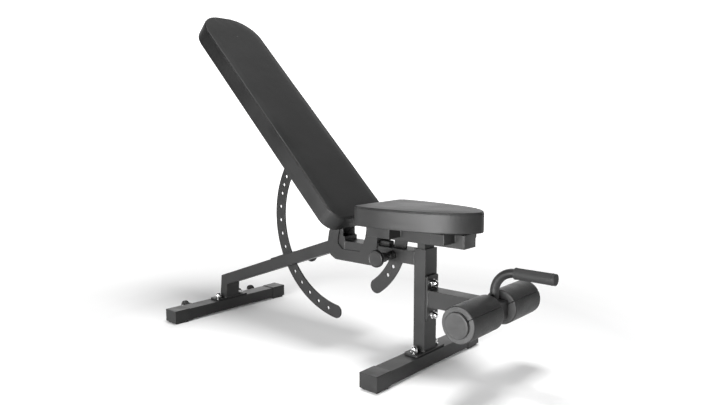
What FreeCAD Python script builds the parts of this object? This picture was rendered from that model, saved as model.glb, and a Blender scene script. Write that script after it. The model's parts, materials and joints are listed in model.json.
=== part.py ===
import FreeCAD, Part
import math
import os

# Adjustable weight bench. Millimetres, +Z up, +X towards the leg rollers, +Y to the bench's left.
# The origin is on the floor, under the middle of the bench's length and width.

V = FreeCAD.Vector
X_AXIS = V(1, 0, 0)
Y_AXIS = V(0, 1, 0)
Z_AXIS = V(0, 0, 1)

# Feet: a tube across the bench at each end, with plastic caps and rubber pads.
FRONT_FOOT_X = 308.0
REAR_FOOT_X = -631.0
FOOT_LENGTH = 530.0
FOOT_TUBE = (58.0, 40.0)
FOOT_TUBE_Z = 8.0
FOOT_CAP = (62.0, 44.0)
FOOT_CAP_Z = 6.0
FOOT_CAP_LENGTH = 62.0
FOOT_CAP_END = 3.0
FOOT_PAD = (52.0, 50.0)

# Frame tubes.
WALL = 2.5
FRAME_WIDTH = 60.0
UPRIGHT_DEPTH = 40.0
UPRIGHT_TOP = 360.0
BASE_PLATE = (50.0, 144.0, 6.0)
BASE_BOLT_Y = 52.0
BASE_BOLT_R = 6.0
BEAM_DEPTH = 40.0
BEAM_Z = 330.0
SLOPE_DEG = 19.5
STUB_FOOT_X = (-647.0, -608.5)
STUB_MITRE = ((-603.0, 108.2), (-637.0, 138.5))

# Main pivot, on the post where the two beams meet.
PIVOT_X = -12.0
PIVOT_Z = 403.0
POST_DEPTH = 50.0
POST_WALL = 4.0
POST_BOTTOM = 306.0
POST_TOP = 364.0
PIVOT_BOLT_R = 8.0
RUNNING_GAP = 0.05
PIVOT_EYE_R = 16.5

# Rubber stop under the seat tube.
STOP_BLOCK = (28.0, 50.0)
STOP_TOP = 375.8

# Leg section.
FLANGE = (7.0, 56.0)
FLANGE_Z = (148.0, 282.0)
FLANGE_BOLT_Z = (162.0, 258.0)
LEG_TUBE_SIZE = 50.0
LEG_TUBE_Z = 215.0
LEG_TUBE_END_X = 566.0
ROLLER_X = 537.5
ROLLER_R = 50.0
ROLLER_Y = (33.0, 187.0)
ROLLER_CORE_R = 17.0
ROLLER_BAR_R = 12.5
ROLLER_BAR_LENGTH = 366.0
ROLLER_END_R = 35.5
ROLLER_END_THICKNESS = 10.0
HANDLE_BAR_R = 12.5
HANDLE_BEND_R = 60.0
HANDLE_Z = 325.5
GRIP_R = 15.75
HANDLE_END_X = 713.0

# Backrest, given in the flat pose: s runs from the pivot to the head end, n is the height above it.
BACK_REST_ANGLE = 45.0
BACK_TUBE_WIDTH = 50.0
BACK_TUBE_N = (-27.5, 12.5)
BACK_TUBE_S = (-17.0, 820.0)
BACK_BAR_S = (110.0, 430.0, 760.0)
BACK_BAR = (40.0, 180.0, 5.0)
BACK_BOARD_N = (17.5, 29.5)
BACK_PAD_N = (29.5, 76.4)
BACK_PAD_S = (-32.0, 942.0)
BACK_HEAD_R = 103.0
BACK_TAIL_R = 50.0
PAD_WIDTH = 250.0
BOARD_INSET = 4.0

# Seat.
SEAT_TUBE_Z = (376.0, 416.0)
SEAT_TUBE_X = (107.0, 454.0)
HINGE_PLATE_Y = (30.4, 34.4)
SEAT_BOARD_Z = (422.0, 434.0)
SEAT_PAD_Z = (434.0, 482.0)
SEAT_PAD_REAR = 121.0
SEAT_REAR_R = 28.0
SEAT_SIDE_END = 200.0
SEAT_NOSE = ((288.0, 117.5), (354.0, 105.0), (420.0, 82.5), (468.0, 48.0))
SEAT_NOSE_TIP = 495.0
FRONT_MEMBER = (383.5, 427.5, 392.0)
REAR_MEMBER = (152.0, 238.0, 388.0)
MEMBER_HALF = 87.0
SEAT_SCREWS = ((401.0, 59.0), (209.0, 57.0))

# Position plates: arcs about the main pivot, one hole for each position.
ARC_THICKNESS = 6.0
ARC_SLOT = 9.0
ARC_SLOT_MARGIN = 3.0
ARC_HOLE_R = 6.0
BACK_ARC_R = (286.0, 331.0)
BACK_HOLE_R = 309.0
BACK_PIN_POLAR = 210.5
BACK_ANGLES = (-12, -6, 0, 9, 18, 27, 36, 45, 54, 63, 72, 81, 90)
BACK_TIP_POLAR = 262.3
SEAT_ARC_R = (209.0, 255.0)
SEAT_HOLE_R = 231.5
SEAT_PIN_POLAR = -18.4
SEAT_ANGLES = (0, 12, 21)
SEAT_TIP_POLAR = -54.8

# Pull pins: Y distances from the bench's centre plane, drawn back out of the plate.
PIN_R = 5.0
PIN_TIP_Y = 3.6
PIN_COLLAR_R = 6.7
PIN_COLLAR_Y = (40.0, 43.0)
BARREL_R = 13.0
BARREL_Y = (30.0, 54.0)
BARREL_NOSE_R = 8.0
BARREL_NOSE_Y = 26.0
SPRING_CAVITY_R = 7.0
SPRING_CAVITY_Y = (29.0, 51.0)
SPRING_WIRE_R = 0.75
SPRING_COILS = 5
KNOB_Y = (66.0, 115.0)
KNOB_R = 26.0
KNOB_NECK_R = 12.5
KNOB_BORE_Y = 100.0

# Transport wheels behind the rear foot.
WHEEL_X = -693.0
WHEEL_Z = 34.0
WHEEL_R = 20.0
WHEEL_Y = (153.0, 167.0)
WHEEL_AXLE_R = 4.0
WHEEL_EAR_Y = (148.0, 152.5)

PARTS = {}


def box(x, y, z):
    """A box between the low and high values of each axis."""
    low = V(x[0], y[0], z[0])
    return Part.makeBox(x[1] - x[0], y[1] - y[0], z[1] - z[0], low)


def cylinder(radius, start, end):
    axis = end - start
    return Part.makeCylinder(radius, axis.Length, start, axis)


def across(radius, x, z, y):
    """A cylinder along Y between the two values of y."""
    return cylinder(radius, V(x, y[0], z), V(x, y[1], z))


def joined(shapes):
    result = shapes[0]
    for shape in shapes[1:]:
        result = result.fuse(shape)
    return result.removeSplitter()


def mirrored_y(shape):
    return shape.mirror(V(0, 0, 0), Y_AXIS)


def both_sides(shape):
    return Part.makeCompound([shape, mirrored_y(shape)])


def rounded_wire(points, radii, plane):
    """A closed wire through the points, with an arc of the given radius at each corner."""
    count = len(points)
    corners = [plane(*point) for point in points]
    edges = []
    joints = []
    for index in range(count):
        corner = corners[index]
        before = (corners[index - 1] - corner).normalize()
        after = (corners[(index + 1) % count] - corner).normalize()
        half = before.getAngle(after) / 2
        reach = radii[index] / math.tan(half)
        bisector = (before + after).normalize()
        start = corner + before * reach
        end = corner + after * reach
        middle = corner + bisector * (radii[index] / math.sin(half) - radii[index])
        joints.append((start, middle, end))
    for index in range(count):
        start, middle, end = joints[index]
        if radii[index] > 0:
            edges.append(Part.Arc(start, middle, end).toShape())
        following = joints[(index + 1) % count][0]
        if (following - end).Length > 1e-6:
            edges.append(Part.LineSegment(end, following).toShape())
    return Part.Wire(edges)


def side_plate(points, radii, y):
    """A flat plate in the XZ plane, between the two values of y."""
    wire = rounded_wire(points, radii, lambda a, b: V(a, y[0], b))
    return Part.Face(wire).extrude(V(0, y[1] - y[0], 0))


def level_plate(points, radii, z):
    """A flat plate in the XY plane, between the two values of z."""
    wire = rounded_wire(points, radii, lambda a, b: V(a, b, z[0]))
    return Part.Face(wire).extrude(V(0, 0, z[1] - z[0]))


def rect_tube(x, y, z, axis, wall=WALL):
    """A rectangular tube with open ends along the named axis."""
    spans = {"x": x, "y": y, "z": z}
    inner = {}
    for name, (low, high) in spans.items():
        margin = -1.0 if name == axis else wall
        inner[name] = (low + margin, high - margin)
    return box(x, y, z).cut(box(inner["x"], inner["y"], inner["z"]))


def half(width):
    return (-width / 2, width / 2)


def around(centre, width):
    return (centre - width / 2, centre + width / 2)


def at_polar(radius, degrees):
    """The X and Z of a point on a circle about the main pivot."""
    angle = math.radians(degrees)
    return PIVOT_X + radius * math.cos(angle), PIVOT_Z + radius * math.sin(angle)


def arc_band(inner, outer, thickness, start, end):
    """A plate that follows a circle about the main pivot, between two polar angles."""
    middle = (start + end) / 2
    points = {}
    for name, radius in (("inner", inner), ("outer", outer)):
        for place, angle in (("start", start), ("middle", middle), ("end", end)):
            x, z = at_polar(radius, angle)
            points[name, place] = V(x, -thickness / 2, z)
    edges = [
        Part.Arc(points["outer", "start"], points["outer", "middle"], points["outer", "end"]).toShape(),
        Part.LineSegment(points["outer", "end"], points["inner", "end"]).toShape(),
        Part.Arc(points["inner", "end"], points["inner", "middle"], points["inner", "start"]).toShape(),
        Part.LineSegment(points["inner", "start"], points["outer", "start"]).toShape(),
    ]
    return Part.Face(Part.Wire(edges)).extrude(V(0, thickness, 0))


def position_plate(radii, hole_radius, angles, start, tip):
    """An arc plate with a round tip and a hole at each polar angle in angles."""
    plate = arc_band(radii[0], radii[1], ARC_THICKNESS, start, tip)
    tip_x, tip_z = at_polar(sum(radii) / 2, tip)
    plate = joined([plate, across((radii[1] - radii[0]) / 2, tip_x, tip_z, half(ARC_THICKNESS))])
    for angle in angles:
        x, z = at_polar(hole_radius, angle)
        plate = plate.cut(across(ARC_HOLE_R, x, z, half(2 * ARC_THICKNESS)))
    return plate


def slot_for(radii, start, end):
    margin = ARC_SLOT_MARGIN
    return arc_band(radii[0] - margin, radii[1] + margin, ARC_SLOT, start, end)


def hexagon(across_flats, start, height, axis):
    """A hexagonal prism that rises from start along axis."""
    side = across_flats / math.sqrt(3)
    points = []
    for corner in range(7):
        angle = math.radians(60 * corner)
        points.append(V(side * math.cos(angle), side * math.sin(angle), 0))
    prism = Part.Face(Part.makePolygon(points)).extrude(V(0, 0, height))
    prism.Placement = FreeCAD.Placement(start, FreeCAD.Rotation(Z_AXIS, axis))
    return prism


def washer(radius, hole, thickness, start, axis):
    return cylinder(radius, start, start + axis * thickness).cut(
        cylinder(hole, start - axis, start + axis * (thickness + 1))
    )


def domed_nut(start, axis, shank):
    """A hexagonal nut with a domed end, bored for the shank."""
    nut = hexagon(19.0, start, 9.0, axis)
    crown = Part.makeSphere(8.5, start + axis * 8.5)
    crown = crown.common(cylinder(12.0, start + axis * 8.0, start + axis * 20.0))
    bore = cylinder(shank, start - axis, start + axis * 12.0)
    return joined([nut, crown]).cut(bore)


# ---- Feet -------------------------------------------------------------------------------------


def foot_tube(centre_x):
    half_length = FOOT_LENGTH / 2 - FOOT_CAP_END
    z = (FOOT_TUBE_Z, FOOT_TUBE_Z + FOOT_TUBE[1])
    tube = rect_tube(around(centre_x, FOOT_TUBE[0]), (-half_length, half_length), z, "y")
    for y in (-BASE_BOLT_Y, BASE_BOLT_Y):
        hole = cylinder(BASE_BOLT_R + 0.5, V(centre_x, y, 0), V(centre_x, y, 60))
        tube = tube.cut(hole)
    return tube


def foot_cap(centre_x):
    """The cap that slides over the tube's end on the +Y side."""
    outer_end = FOOT_LENGTH / 2
    y = (outer_end - FOOT_CAP_LENGTH, outer_end)
    cap = box(around(centre_x, FOOT_CAP[0]), y, (FOOT_CAP_Z, FOOT_CAP_Z + FOOT_CAP[1]))
    cap = cap.makeFillet(2.0, [edge for edge in cap.Edges if edge.BoundBox.YLength > 10])
    hollow = box(
        around(centre_x, FOOT_TUBE[0]),
        (y[0] - 1, outer_end - FOOT_CAP_END),
        (FOOT_TUBE_Z, FOOT_TUBE_Z + FOOT_TUBE[1]),
    )
    return cap.cut(hollow)


def foot_pad(centre_x):
    centre_y = (FOOT_LENGTH - FOOT_CAP_LENGTH) / 2
    return box(around(centre_x, FOOT_PAD[0]), around(centre_y, FOOT_PAD[1]), (0, FOOT_CAP_Z))


def base_plate(x):
    z = (FOOT_TUBE_Z + FOOT_TUBE[1], FOOT_TUBE_Z + FOOT_TUBE[1] + BASE_PLATE[2])
    long_side = BASE_PLATE[1] / 2
    points = [(x[0], -long_side), (x[1], -long_side), (x[1], long_side), (x[0], long_side)]
    plate = level_plate(points, [6.0] * 4, z)
    centre = (x[0] + x[1]) / 2
    for y in (-BASE_BOLT_Y, BASE_BOLT_Y):
        plate = plate.cut(cylinder(BASE_BOLT_R + 0.5, V(centre, y, 0), V(centre, y, 60)))
    return plate


def make_feet():
    centres = (FRONT_FOOT_X, REAR_FOOT_X)
    PARTS["front_foot_tube"] = foot_tube(FRONT_FOOT_X)
    PARTS["rear_foot_tube"] = foot_tube(REAR_FOOT_X)
    PARTS["foot_caps"] = Part.makeCompound([both_sides(foot_cap(x)) for x in centres])
    PARTS["foot_pads"] = Part.makeCompound([both_sides(foot_pad(x)) for x in centres])
    PARTS["front_base_plate"] = base_plate(around(FRONT_FOOT_X, BASE_PLATE[0]))
    PARTS["rear_base_plate"] = base_plate(around(REAR_FOOT_X, BASE_PLATE[0]))


def make_fasteners():
    """The carriage bolts in the base plates, the flange bolts, their washers and domed nuts."""
    plate_top = FOOT_TUBE_Z + FOOT_TUBE[1] + BASE_PLATE[2]
    bolts = []
    washers = []
    nuts = []
    for x in (FRONT_FOOT_X, REAR_FOOT_X):
        for y in (-BASE_BOLT_Y, BASE_BOLT_Y):
            head = cylinder(13.0, V(x, y, FOOT_TUBE_Z - 4), V(x, y, FOOT_TUBE_Z))
            shank = cylinder(BASE_BOLT_R, V(x, y, FOOT_TUBE_Z), V(x, y, plate_top + 11))
            bolts.append(joined([head, shank]))
            washers.append(washer(12.0, BASE_BOLT_R + 0.2, 2.5, V(x, y, plate_top), Z_AXIS))
            nuts.append(domed_nut(V(x, y, plate_top + 2.5), Z_AXIS, BASE_BOLT_R))
    PARTS["base_bolts"] = Part.makeCompound(bolts)

    flange_bolts = []
    rear = FRONT_FOOT_X - UPRIGHT_DEPTH / 2
    front = FRONT_FOOT_X + UPRIGHT_DEPTH / 2 + FLANGE[0]
    for z in FLANGE_BOLT_Z:
        head = hexagon(18.0, V(rear, 0, z), 7.5, V(-1, 0, 0))
        shank = cylinder(BASE_BOLT_R, V(rear, 0, z), V(front + 11, 0, z))
        flange_bolts.append(joined([head, shank]))
        washers.append(washer(12.0, BASE_BOLT_R + 0.2, 2.5, V(front, 0, z), X_AXIS))
        nuts.append(domed_nut(V(front + 2.5, 0, z), X_AXIS, BASE_BOLT_R))
    PARTS["flange_bolts"] = Part.makeCompound(flange_bolts)
    PARTS["washers"] = Part.makeCompound(washers)
    PARTS["domed_nuts"] = Part.makeCompound(nuts)


# ---- Frame ------------------------------------------------------------------------------------


def make_upright():
    x = around(FRONT_FOOT_X, UPRIGHT_DEPTH)
    bottom = FOOT_TUBE_Z + FOOT_TUBE[1] + BASE_PLATE[2]
    tube = rect_tube(x, half(FRAME_WIDTH), (bottom, UPRIGHT_TOP), "z")
    for z in FLANGE_BOLT_Z:
        tube = tube.cut(cylinder(BASE_BOLT_R + 0.5, V(x[0] - 1, 0, z), V(x[1] + 1, 0, z)))
    PARTS["front_upright"] = tube
    block = box(around(FRONT_FOOT_X, STOP_BLOCK[0]), half(STOP_BLOCK[1]), (UPRIGHT_TOP, STOP_TOP))
    block = block.makeFillet(3.0, [edge for edge in block.Edges if edge.BoundBox.ZLength > 10])
    plug = box(
        around(FRONT_FOOT_X, UPRIGHT_DEPTH - 2 * WALL),
        half(FRAME_WIDTH - 2 * WALL),
        (UPRIGHT_TOP - 10, UPRIGHT_TOP),
    )
    PARTS["seat_stop_block"] = joined([block, plug])


def make_beams():
    """The level beam, the sloped beam and the stub that stands on the rear foot."""
    post_front = PIVOT_X + POST_DEPTH / 2
    post_rear = PIVOT_X - POST_DEPTH / 2
    upright_rear = FRONT_FOOT_X - UPRIGHT_DEPTH / 2
    z = around(BEAM_Z, BEAM_DEPTH)
    beam = rect_tube((post_front, upright_rear), half(FRAME_WIDTH), z, "x")
    beam = beam.cut(slot_for(SEAT_ARC_R, -40.0, -3.0))
    pin_x, pin_z = at_polar(SEAT_HOLE_R, SEAT_PIN_POLAR)
    PARTS["horizontal_beam"] = beam.cut(across(BARREL_NOSE_R, pin_x, pin_z, (-31, -20)))

    sloped = rect_tube((-700, 60), half(FRAME_WIDTH), half(BEAM_DEPTH), "x")
    sloped.rotate(V(0, 0, 0), Y_AXIS, -SLOPE_DEG)
    sloped.translate(V(post_rear, 0, BEAM_Z))
    inside, outside = (V(x, -40, height) for x, height in STUB_MITRE)
    limits = [inside, V(-500, -40, 0), V(post_rear, -40, 0), V(post_rear, -40, 420), V(-700, -40, 420)]
    keep = Part.Face(Part.makePolygon([outside] + limits + [outside])).extrude(V(0, 80, 0))
    sloped = sloped.common(keep)
    sloped = sloped.cut(slot_for(BACK_ARC_R, 195.0, 225.0))
    pin_x, pin_z = at_polar(BACK_HOLE_R, BACK_PIN_POLAR)
    PARTS["sloped_beam"] = sloped.cut(across(BARREL_NOSE_R, pin_x, pin_z, (20, 31)))

    plate_top = FOOT_TUBE_Z + FOOT_TUBE[1] + BASE_PLATE[2]
    corners = [(STUB_FOOT_X[0], plate_top), (STUB_FOOT_X[1], plate_top)] + list(STUB_MITRE)
    stub = side_plate(corners, [0.0] * 4, half(FRAME_WIDTH))
    hollow = [(STUB_FOOT_X[0] + WALL, plate_top - 9), (STUB_FOOT_X[1] - WALL, plate_top - 9)]
    hollow += [(STUB_MITRE[0][0] - WALL, STUB_MITRE[0][1] + 20)]
    hollow += [(STUB_MITRE[1][0] + WALL, STUB_MITRE[1][1] + 20)]
    inner = side_plate(hollow, [0.0] * 4, half(FRAME_WIDTH - 2 * WALL))
    PARTS["rear_stub"] = stub.cut(inner)


def make_pivot_post():
    """A short box post whose side walls rise as two ears around the pivot bolt."""
    x = around(PIVOT_X, POST_DEPTH)
    outer = box(x, half(FRAME_WIDTH), (POST_BOTTOM, POST_TOP))
    inner = box(
        (x[0] + 3, x[1] - 3),
        half(FRAME_WIDTH - 2 * POST_WALL),
        (POST_BOTTOM + 3, POST_TOP + 1),
    )
    eye = PIVOT_EYE_R
    points = [
        (x[0], POST_BOTTOM), (x[1], POST_BOTTOM), (x[1], PIVOT_Z - 45),
        (PIVOT_X + eye, PIVOT_Z - 34), (PIVOT_X + eye, PIVOT_Z),
        (PIVOT_X - eye, PIVOT_Z), (x[0], PIVOT_Z - 45),
    ]
    y = (FRAME_WIDTH / 2 - POST_WALL, FRAME_WIDTH / 2)
    ear = side_plate(points, [0.0] * len(points), y)
    ear = joined([ear, across(eye, PIVOT_X, PIVOT_Z, y)])
    post = joined([outer.cut(inner), ear, mirrored_y(ear)])
    hole = across(PIVOT_BOLT_R + RUNNING_GAP, PIVOT_X, PIVOT_Z, (-40, 40))
    PARTS["pivot_post"] = post.cut(hole)


def make_pivot_bolt():
    washer_start = HINGE_PLATE_Y[1] + 0.3
    washer_end = washer_start + 2.0
    bolt_end = washer_end + 13.0
    centre = V(PIVOT_X, 0, PIVOT_Z)
    shank = across(PIVOT_BOLT_R, PIVOT_X, PIVOT_Z, (-washer_end, bolt_end))
    head = hexagon(24.0, centre - Y_AXIS * washer_end, 9.0, V(0, -1, 0))
    PARTS["pivot_bolt"] = joined([shank, head])
    nut = hexagon(24.0, centre + Y_AXIS * washer_end, 12.0, Y_AXIS)
    PARTS["pivot_nut"] = nut.cut(across(PIVOT_BOLT_R, PIVOT_X, PIVOT_Z, (0, 60)))
    ring = washer(15.0, PIVOT_BOLT_R + 0.2, 2.0, centre + Y_AXIS * washer_start, Y_AXIS)
    PARTS["pivot_washers"] = both_sides(ring)


# ---- Leg section ------------------------------------------------------------------------------


def make_leg_section():
    front = FRONT_FOOT_X + UPRIGHT_DEPTH / 2
    corners = [(y, z) for z in FLANGE_Z for y in half(FLANGE[1])]
    outline = [corners[0], corners[1], corners[3], corners[2]]
    wire = rounded_wire(outline, [6.0] * 4, lambda a, b: V(front, a, b))
    flange = Part.Face(wire).extrude(V(FLANGE[0], 0, 0))
    for z in FLANGE_BOLT_Z:
        flange = flange.cut(cylinder(BASE_BOLT_R + 0.5, V(front - 1, 0, z), V(front + 9, 0, z)))
    PARTS["leg_flange"] = flange

    start = front + FLANGE[0]
    end = LEG_TUBE_END_X - 3.0
    z = around(LEG_TUBE_Z, LEG_TUBE_SIZE)
    tube = rect_tube((start, end), half(LEG_TUBE_SIZE), z, "x")
    bar_hole = across(ROLLER_BAR_R + 0.1, ROLLER_X, LEG_TUBE_Z, half(2 * LEG_TUBE_SIZE))
    PARTS["leg_tube"] = tube.cut(bar_hole)
    cap = box((end, LEG_TUBE_END_X), half(LEG_TUBE_SIZE), z)
    plug_size = LEG_TUBE_SIZE - 2 * WALL
    plug = box((end - 4, end), half(plug_size), around(LEG_TUBE_Z, plug_size))
    PARTS["leg_tube_cap"] = joined([cap, plug])
    bar = across(ROLLER_BAR_R, ROLLER_X, LEG_TUBE_Z, half(ROLLER_BAR_LENGTH))
    bore = across(ROLLER_BAR_R - 2, ROLLER_X, LEG_TUBE_Z, half(ROLLER_BAR_LENGTH + 2))
    PARTS["roller_bar"] = bar.cut(bore)


def make_handle():
    """A bar bent from upright to level, with a rubber grip sleeve on its level end."""
    foot = V(ROLLER_X, 0, LEG_TUBE_Z + LEG_TUBE_SIZE / 2)
    bend_start = V(ROLLER_X, 0, HANDLE_Z - HANDLE_BEND_R)
    bend_end = V(ROLLER_X + HANDLE_BEND_R, 0, HANDLE_Z)
    turn = HANDLE_BEND_R * math.sin(math.radians(45))
    centre = V(ROLLER_X + HANDLE_BEND_R, 0, HANDLE_Z - HANDLE_BEND_R)
    bend_middle = centre + V(-turn, 0, turn)
    bar_end = V(HANDLE_END_X - 3, 0, HANDLE_Z)
    edges = [
        Part.LineSegment(foot, bend_start).toShape(),
        Part.Arc(bend_start, bend_middle, bend_end).toShape(),
        Part.LineSegment(bend_end, bar_end).toShape(),
    ]
    path = Part.Wire(edges)
    section = Part.Wire([Part.Circle(foot, Z_AXIS, HANDLE_BAR_R).toShape()])
    PARTS["handle_bar"] = path.makePipeShell([section], True, False)

    grip = cylinder(GRIP_R, V(bend_end.x, 0, HANDLE_Z), V(HANDLE_END_X, 0, HANDLE_Z))
    outer_edge = [edge for edge in grip.Edges if edge.BoundBox.XMin > HANDLE_END_X - 1]
    grip = grip.makeFillet(2.5, outer_edge)
    bore = cylinder(HANDLE_BAR_R, bend_end - X_AXIS, bar_end)
    PARTS["handle_grip"] = grip.cut(bore)


def make_roller(side):
    """One foam roller and its plastic core; side is +1 for left (+Y) or -1 for right."""
    name = "left" if side > 0 else "right"
    foam = across(ROLLER_R, ROLLER_X, LEG_TUBE_Z, ROLLER_Y)
    foam = foam.makeFillet(9.0, [edge for edge in foam.Edges if edge.BoundBox.YLength < 1])
    foam = foam.cut(across(ROLLER_CORE_R, ROLLER_X, LEG_TUBE_Z, (0, 200)))
    core = across(ROLLER_CORE_R, ROLLER_X, LEG_TUBE_Z, ROLLER_Y)
    disc_y = (ROLLER_Y[1], ROLLER_Y[1] + ROLLER_END_THICKNESS)
    end_disc = across(ROLLER_END_R, ROLLER_X, LEG_TUBE_Z, disc_y)
    core = joined([core, end_disc])
    core = core.cut(across(ROLLER_BAR_R + 0.08, ROLLER_X, LEG_TUBE_Z, (0, ROLLER_Y[1])))
    if side < 0:
        foam = mirrored_y(foam)
        core = mirrored_y(core)
    PARTS["roller_foam_" + name] = foam
    PARTS["roller_core_" + name] = core


# ---- Pull pins and wheels ---------------------------------------------------------------------


def turned(profile, x, z):
    """A solid of revolution about an axis along +Y through x, z; profile holds (radius, y) pairs."""
    points = [V(x + radius, y, z) for radius, y in profile]
    points = [V(x, profile[0][1], z)] + points + [V(x, profile[-1][1], z)]
    face = Part.Face(Part.makePolygon(points + [points[0]]))
    return face.revolve(V(x, 0, z), Y_AXIS, 360)


def make_pull_pin(name, x, z, side):
    """Barrel, spring, plunger and knob of one pull pin, built on +Y and mirrored for side -1."""
    barrel = joined([
        turned([(BARREL_R, BARREL_Y[0]), (BARREL_R, BARREL_Y[1] - 2), (BARREL_R - 2, BARREL_Y[1])], x, z),
        across(BARREL_NOSE_R, x, z, (BARREL_NOSE_Y, BARREL_Y[0])),
    ])
    barrel = barrel.cut(across(SPRING_CAVITY_R, x, z, SPRING_CAVITY_Y))
    barrel = barrel.cut(across(PIN_R + RUNNING_GAP, x, z, (20, 60)))

    coils = []
    for coil in range(SPRING_COILS):
        y = PIN_COLLAR_Y[1] + 0.1 + SPRING_WIRE_R + coil * (2 * SPRING_WIRE_R + 0.05)
        ring = Part.makeTorus(PIN_R + 1.0, SPRING_WIRE_R, V(x, y, z), Y_AXIS)
        coils.append(ring)

    plunger = turned([
        (PIN_R - 1.5, PIN_TIP_Y), (PIN_R, PIN_TIP_Y + 2), (PIN_R, PIN_COLLAR_Y[0]),
        (PIN_COLLAR_R, PIN_COLLAR_Y[0]), (PIN_COLLAR_R, PIN_COLLAR_Y[1]),
        (PIN_R, PIN_COLLAR_Y[1]), (PIN_R, KNOB_BORE_Y),
    ], x, z)

    knob = turned([
        (KNOB_NECK_R, KNOB_Y[0]), (KNOB_NECK_R + 2, KNOB_Y[0] + 14), (KNOB_R - 3, KNOB_Y[1] - 16),
        (KNOB_R, KNOB_Y[1] - 11), (KNOB_R, KNOB_Y[1] - 3), (KNOB_R - 3, KNOB_Y[1]),
    ], x, z)
    knob = knob.cut(across(PIN_R, x, z, (KNOB_Y[0] - 1, KNOB_BORE_Y)))

    shapes = {"housing": barrel, "spring": Part.makeCompound(coils), "plunger": plunger, "knob": knob}
    for piece, shape in shapes.items():
        PARTS[name + "_pin_" + piece] = mirrored_y(shape) if side < 0 else shape


def wheel_bracket():
    """The ear behind the rear foot that carries the wheel on the +Y side."""
    foot_rear = REAR_FOOT_X - FOOT_TUBE[0] / 2
    web = box((foot_rear - 4, foot_rear), (WHEEL_EAR_Y[0] - 24, WHEEL_EAR_Y[1]), (18, 46))
    ear_points = [(foot_rear, 18), (foot_rear, 46), (WHEEL_X, WHEEL_Z + 11), (WHEEL_X, WHEEL_Z - 11)]
    ear = side_plate(ear_points, [0.0] * 4, WHEEL_EAR_Y)
    ear = joined([web, ear, across(11.0, WHEEL_X, WHEEL_Z, WHEEL_EAR_Y)])
    return ear.cut(across(WHEEL_AXLE_R + 0.2, WHEEL_X, WHEEL_Z, (140, 160)))


def wheel_axle():
    """A shouldered bolt with a nut on the inner side of the ear."""
    shank = across(WHEEL_AXLE_R, WHEEL_X, WHEEL_Z, (142.0, 167.5))
    head = turned([(7.0, 167.5), (7.0, 170.0), (4.5, 172.0)], WHEEL_X, WHEEL_Z)
    nut = hexagon(13.0, V(WHEEL_X, 142.0, WHEEL_Z), 6.0, Y_AXIS)
    return joined([shank, head, nut])


def make_wheels():
    PARTS["wheel_brackets"] = both_sides(wheel_bracket())
    PARTS["wheel_axles"] = both_sides(wheel_axle())
    rim = WHEEL_R
    low, high = WHEEL_Y
    profile = [(rim - 2, low), (rim, low + 2), (rim, high - 2), (rim - 2, high)]
    recess = turned([(12.0, high - 2), (12.0, high + 1)], WHEEL_X, WHEEL_Z)
    recess = recess.cut(across(8.0, WHEEL_X, WHEEL_Z, (high - 3, high + 2)))
    bore = across(WHEEL_AXLE_R + RUNNING_GAP, WHEEL_X, WHEEL_Z, (low - 1, high + 1))
    wheel = turned(profile, WHEEL_X, WHEEL_Z).cut(recess).cut(bore)
    PARTS["wheel_left"] = wheel
    PARTS["wheel_right"] = mirrored_y(wheel)


# ---- Backrest ---------------------------------------------------------------------------------


def back_outline(inset):
    """Corner points and radii of the backrest pad, seen from above in the flat pose."""
    side = PAD_WIDTH / 2 - inset
    head = PIVOT_X - BACK_PAD_S[1] + inset
    tail = PIVOT_X - BACK_PAD_S[0] - inset
    points = [(head, -side), (tail, -side), (tail, side), (head, side)]
    head_r = BACK_HEAD_R - inset
    tail_r = BACK_TAIL_R - inset
    return points, [head_r, tail_r, tail_r, head_r]


def above_pivot(n):
    return (PIVOT_Z + n[0], PIVOT_Z + n[1])


def back_screw(x, y):
    low = PIVOT_Z + BACK_TUBE_N[1] - 4
    head = cylinder(7.0, V(x, y, low), V(x, y, low + 4))
    return joined([head, cylinder(3.5, V(x, y, low + 4), V(x, y, PIVOT_Z + BACK_BOARD_N[1] - 2))])


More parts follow.
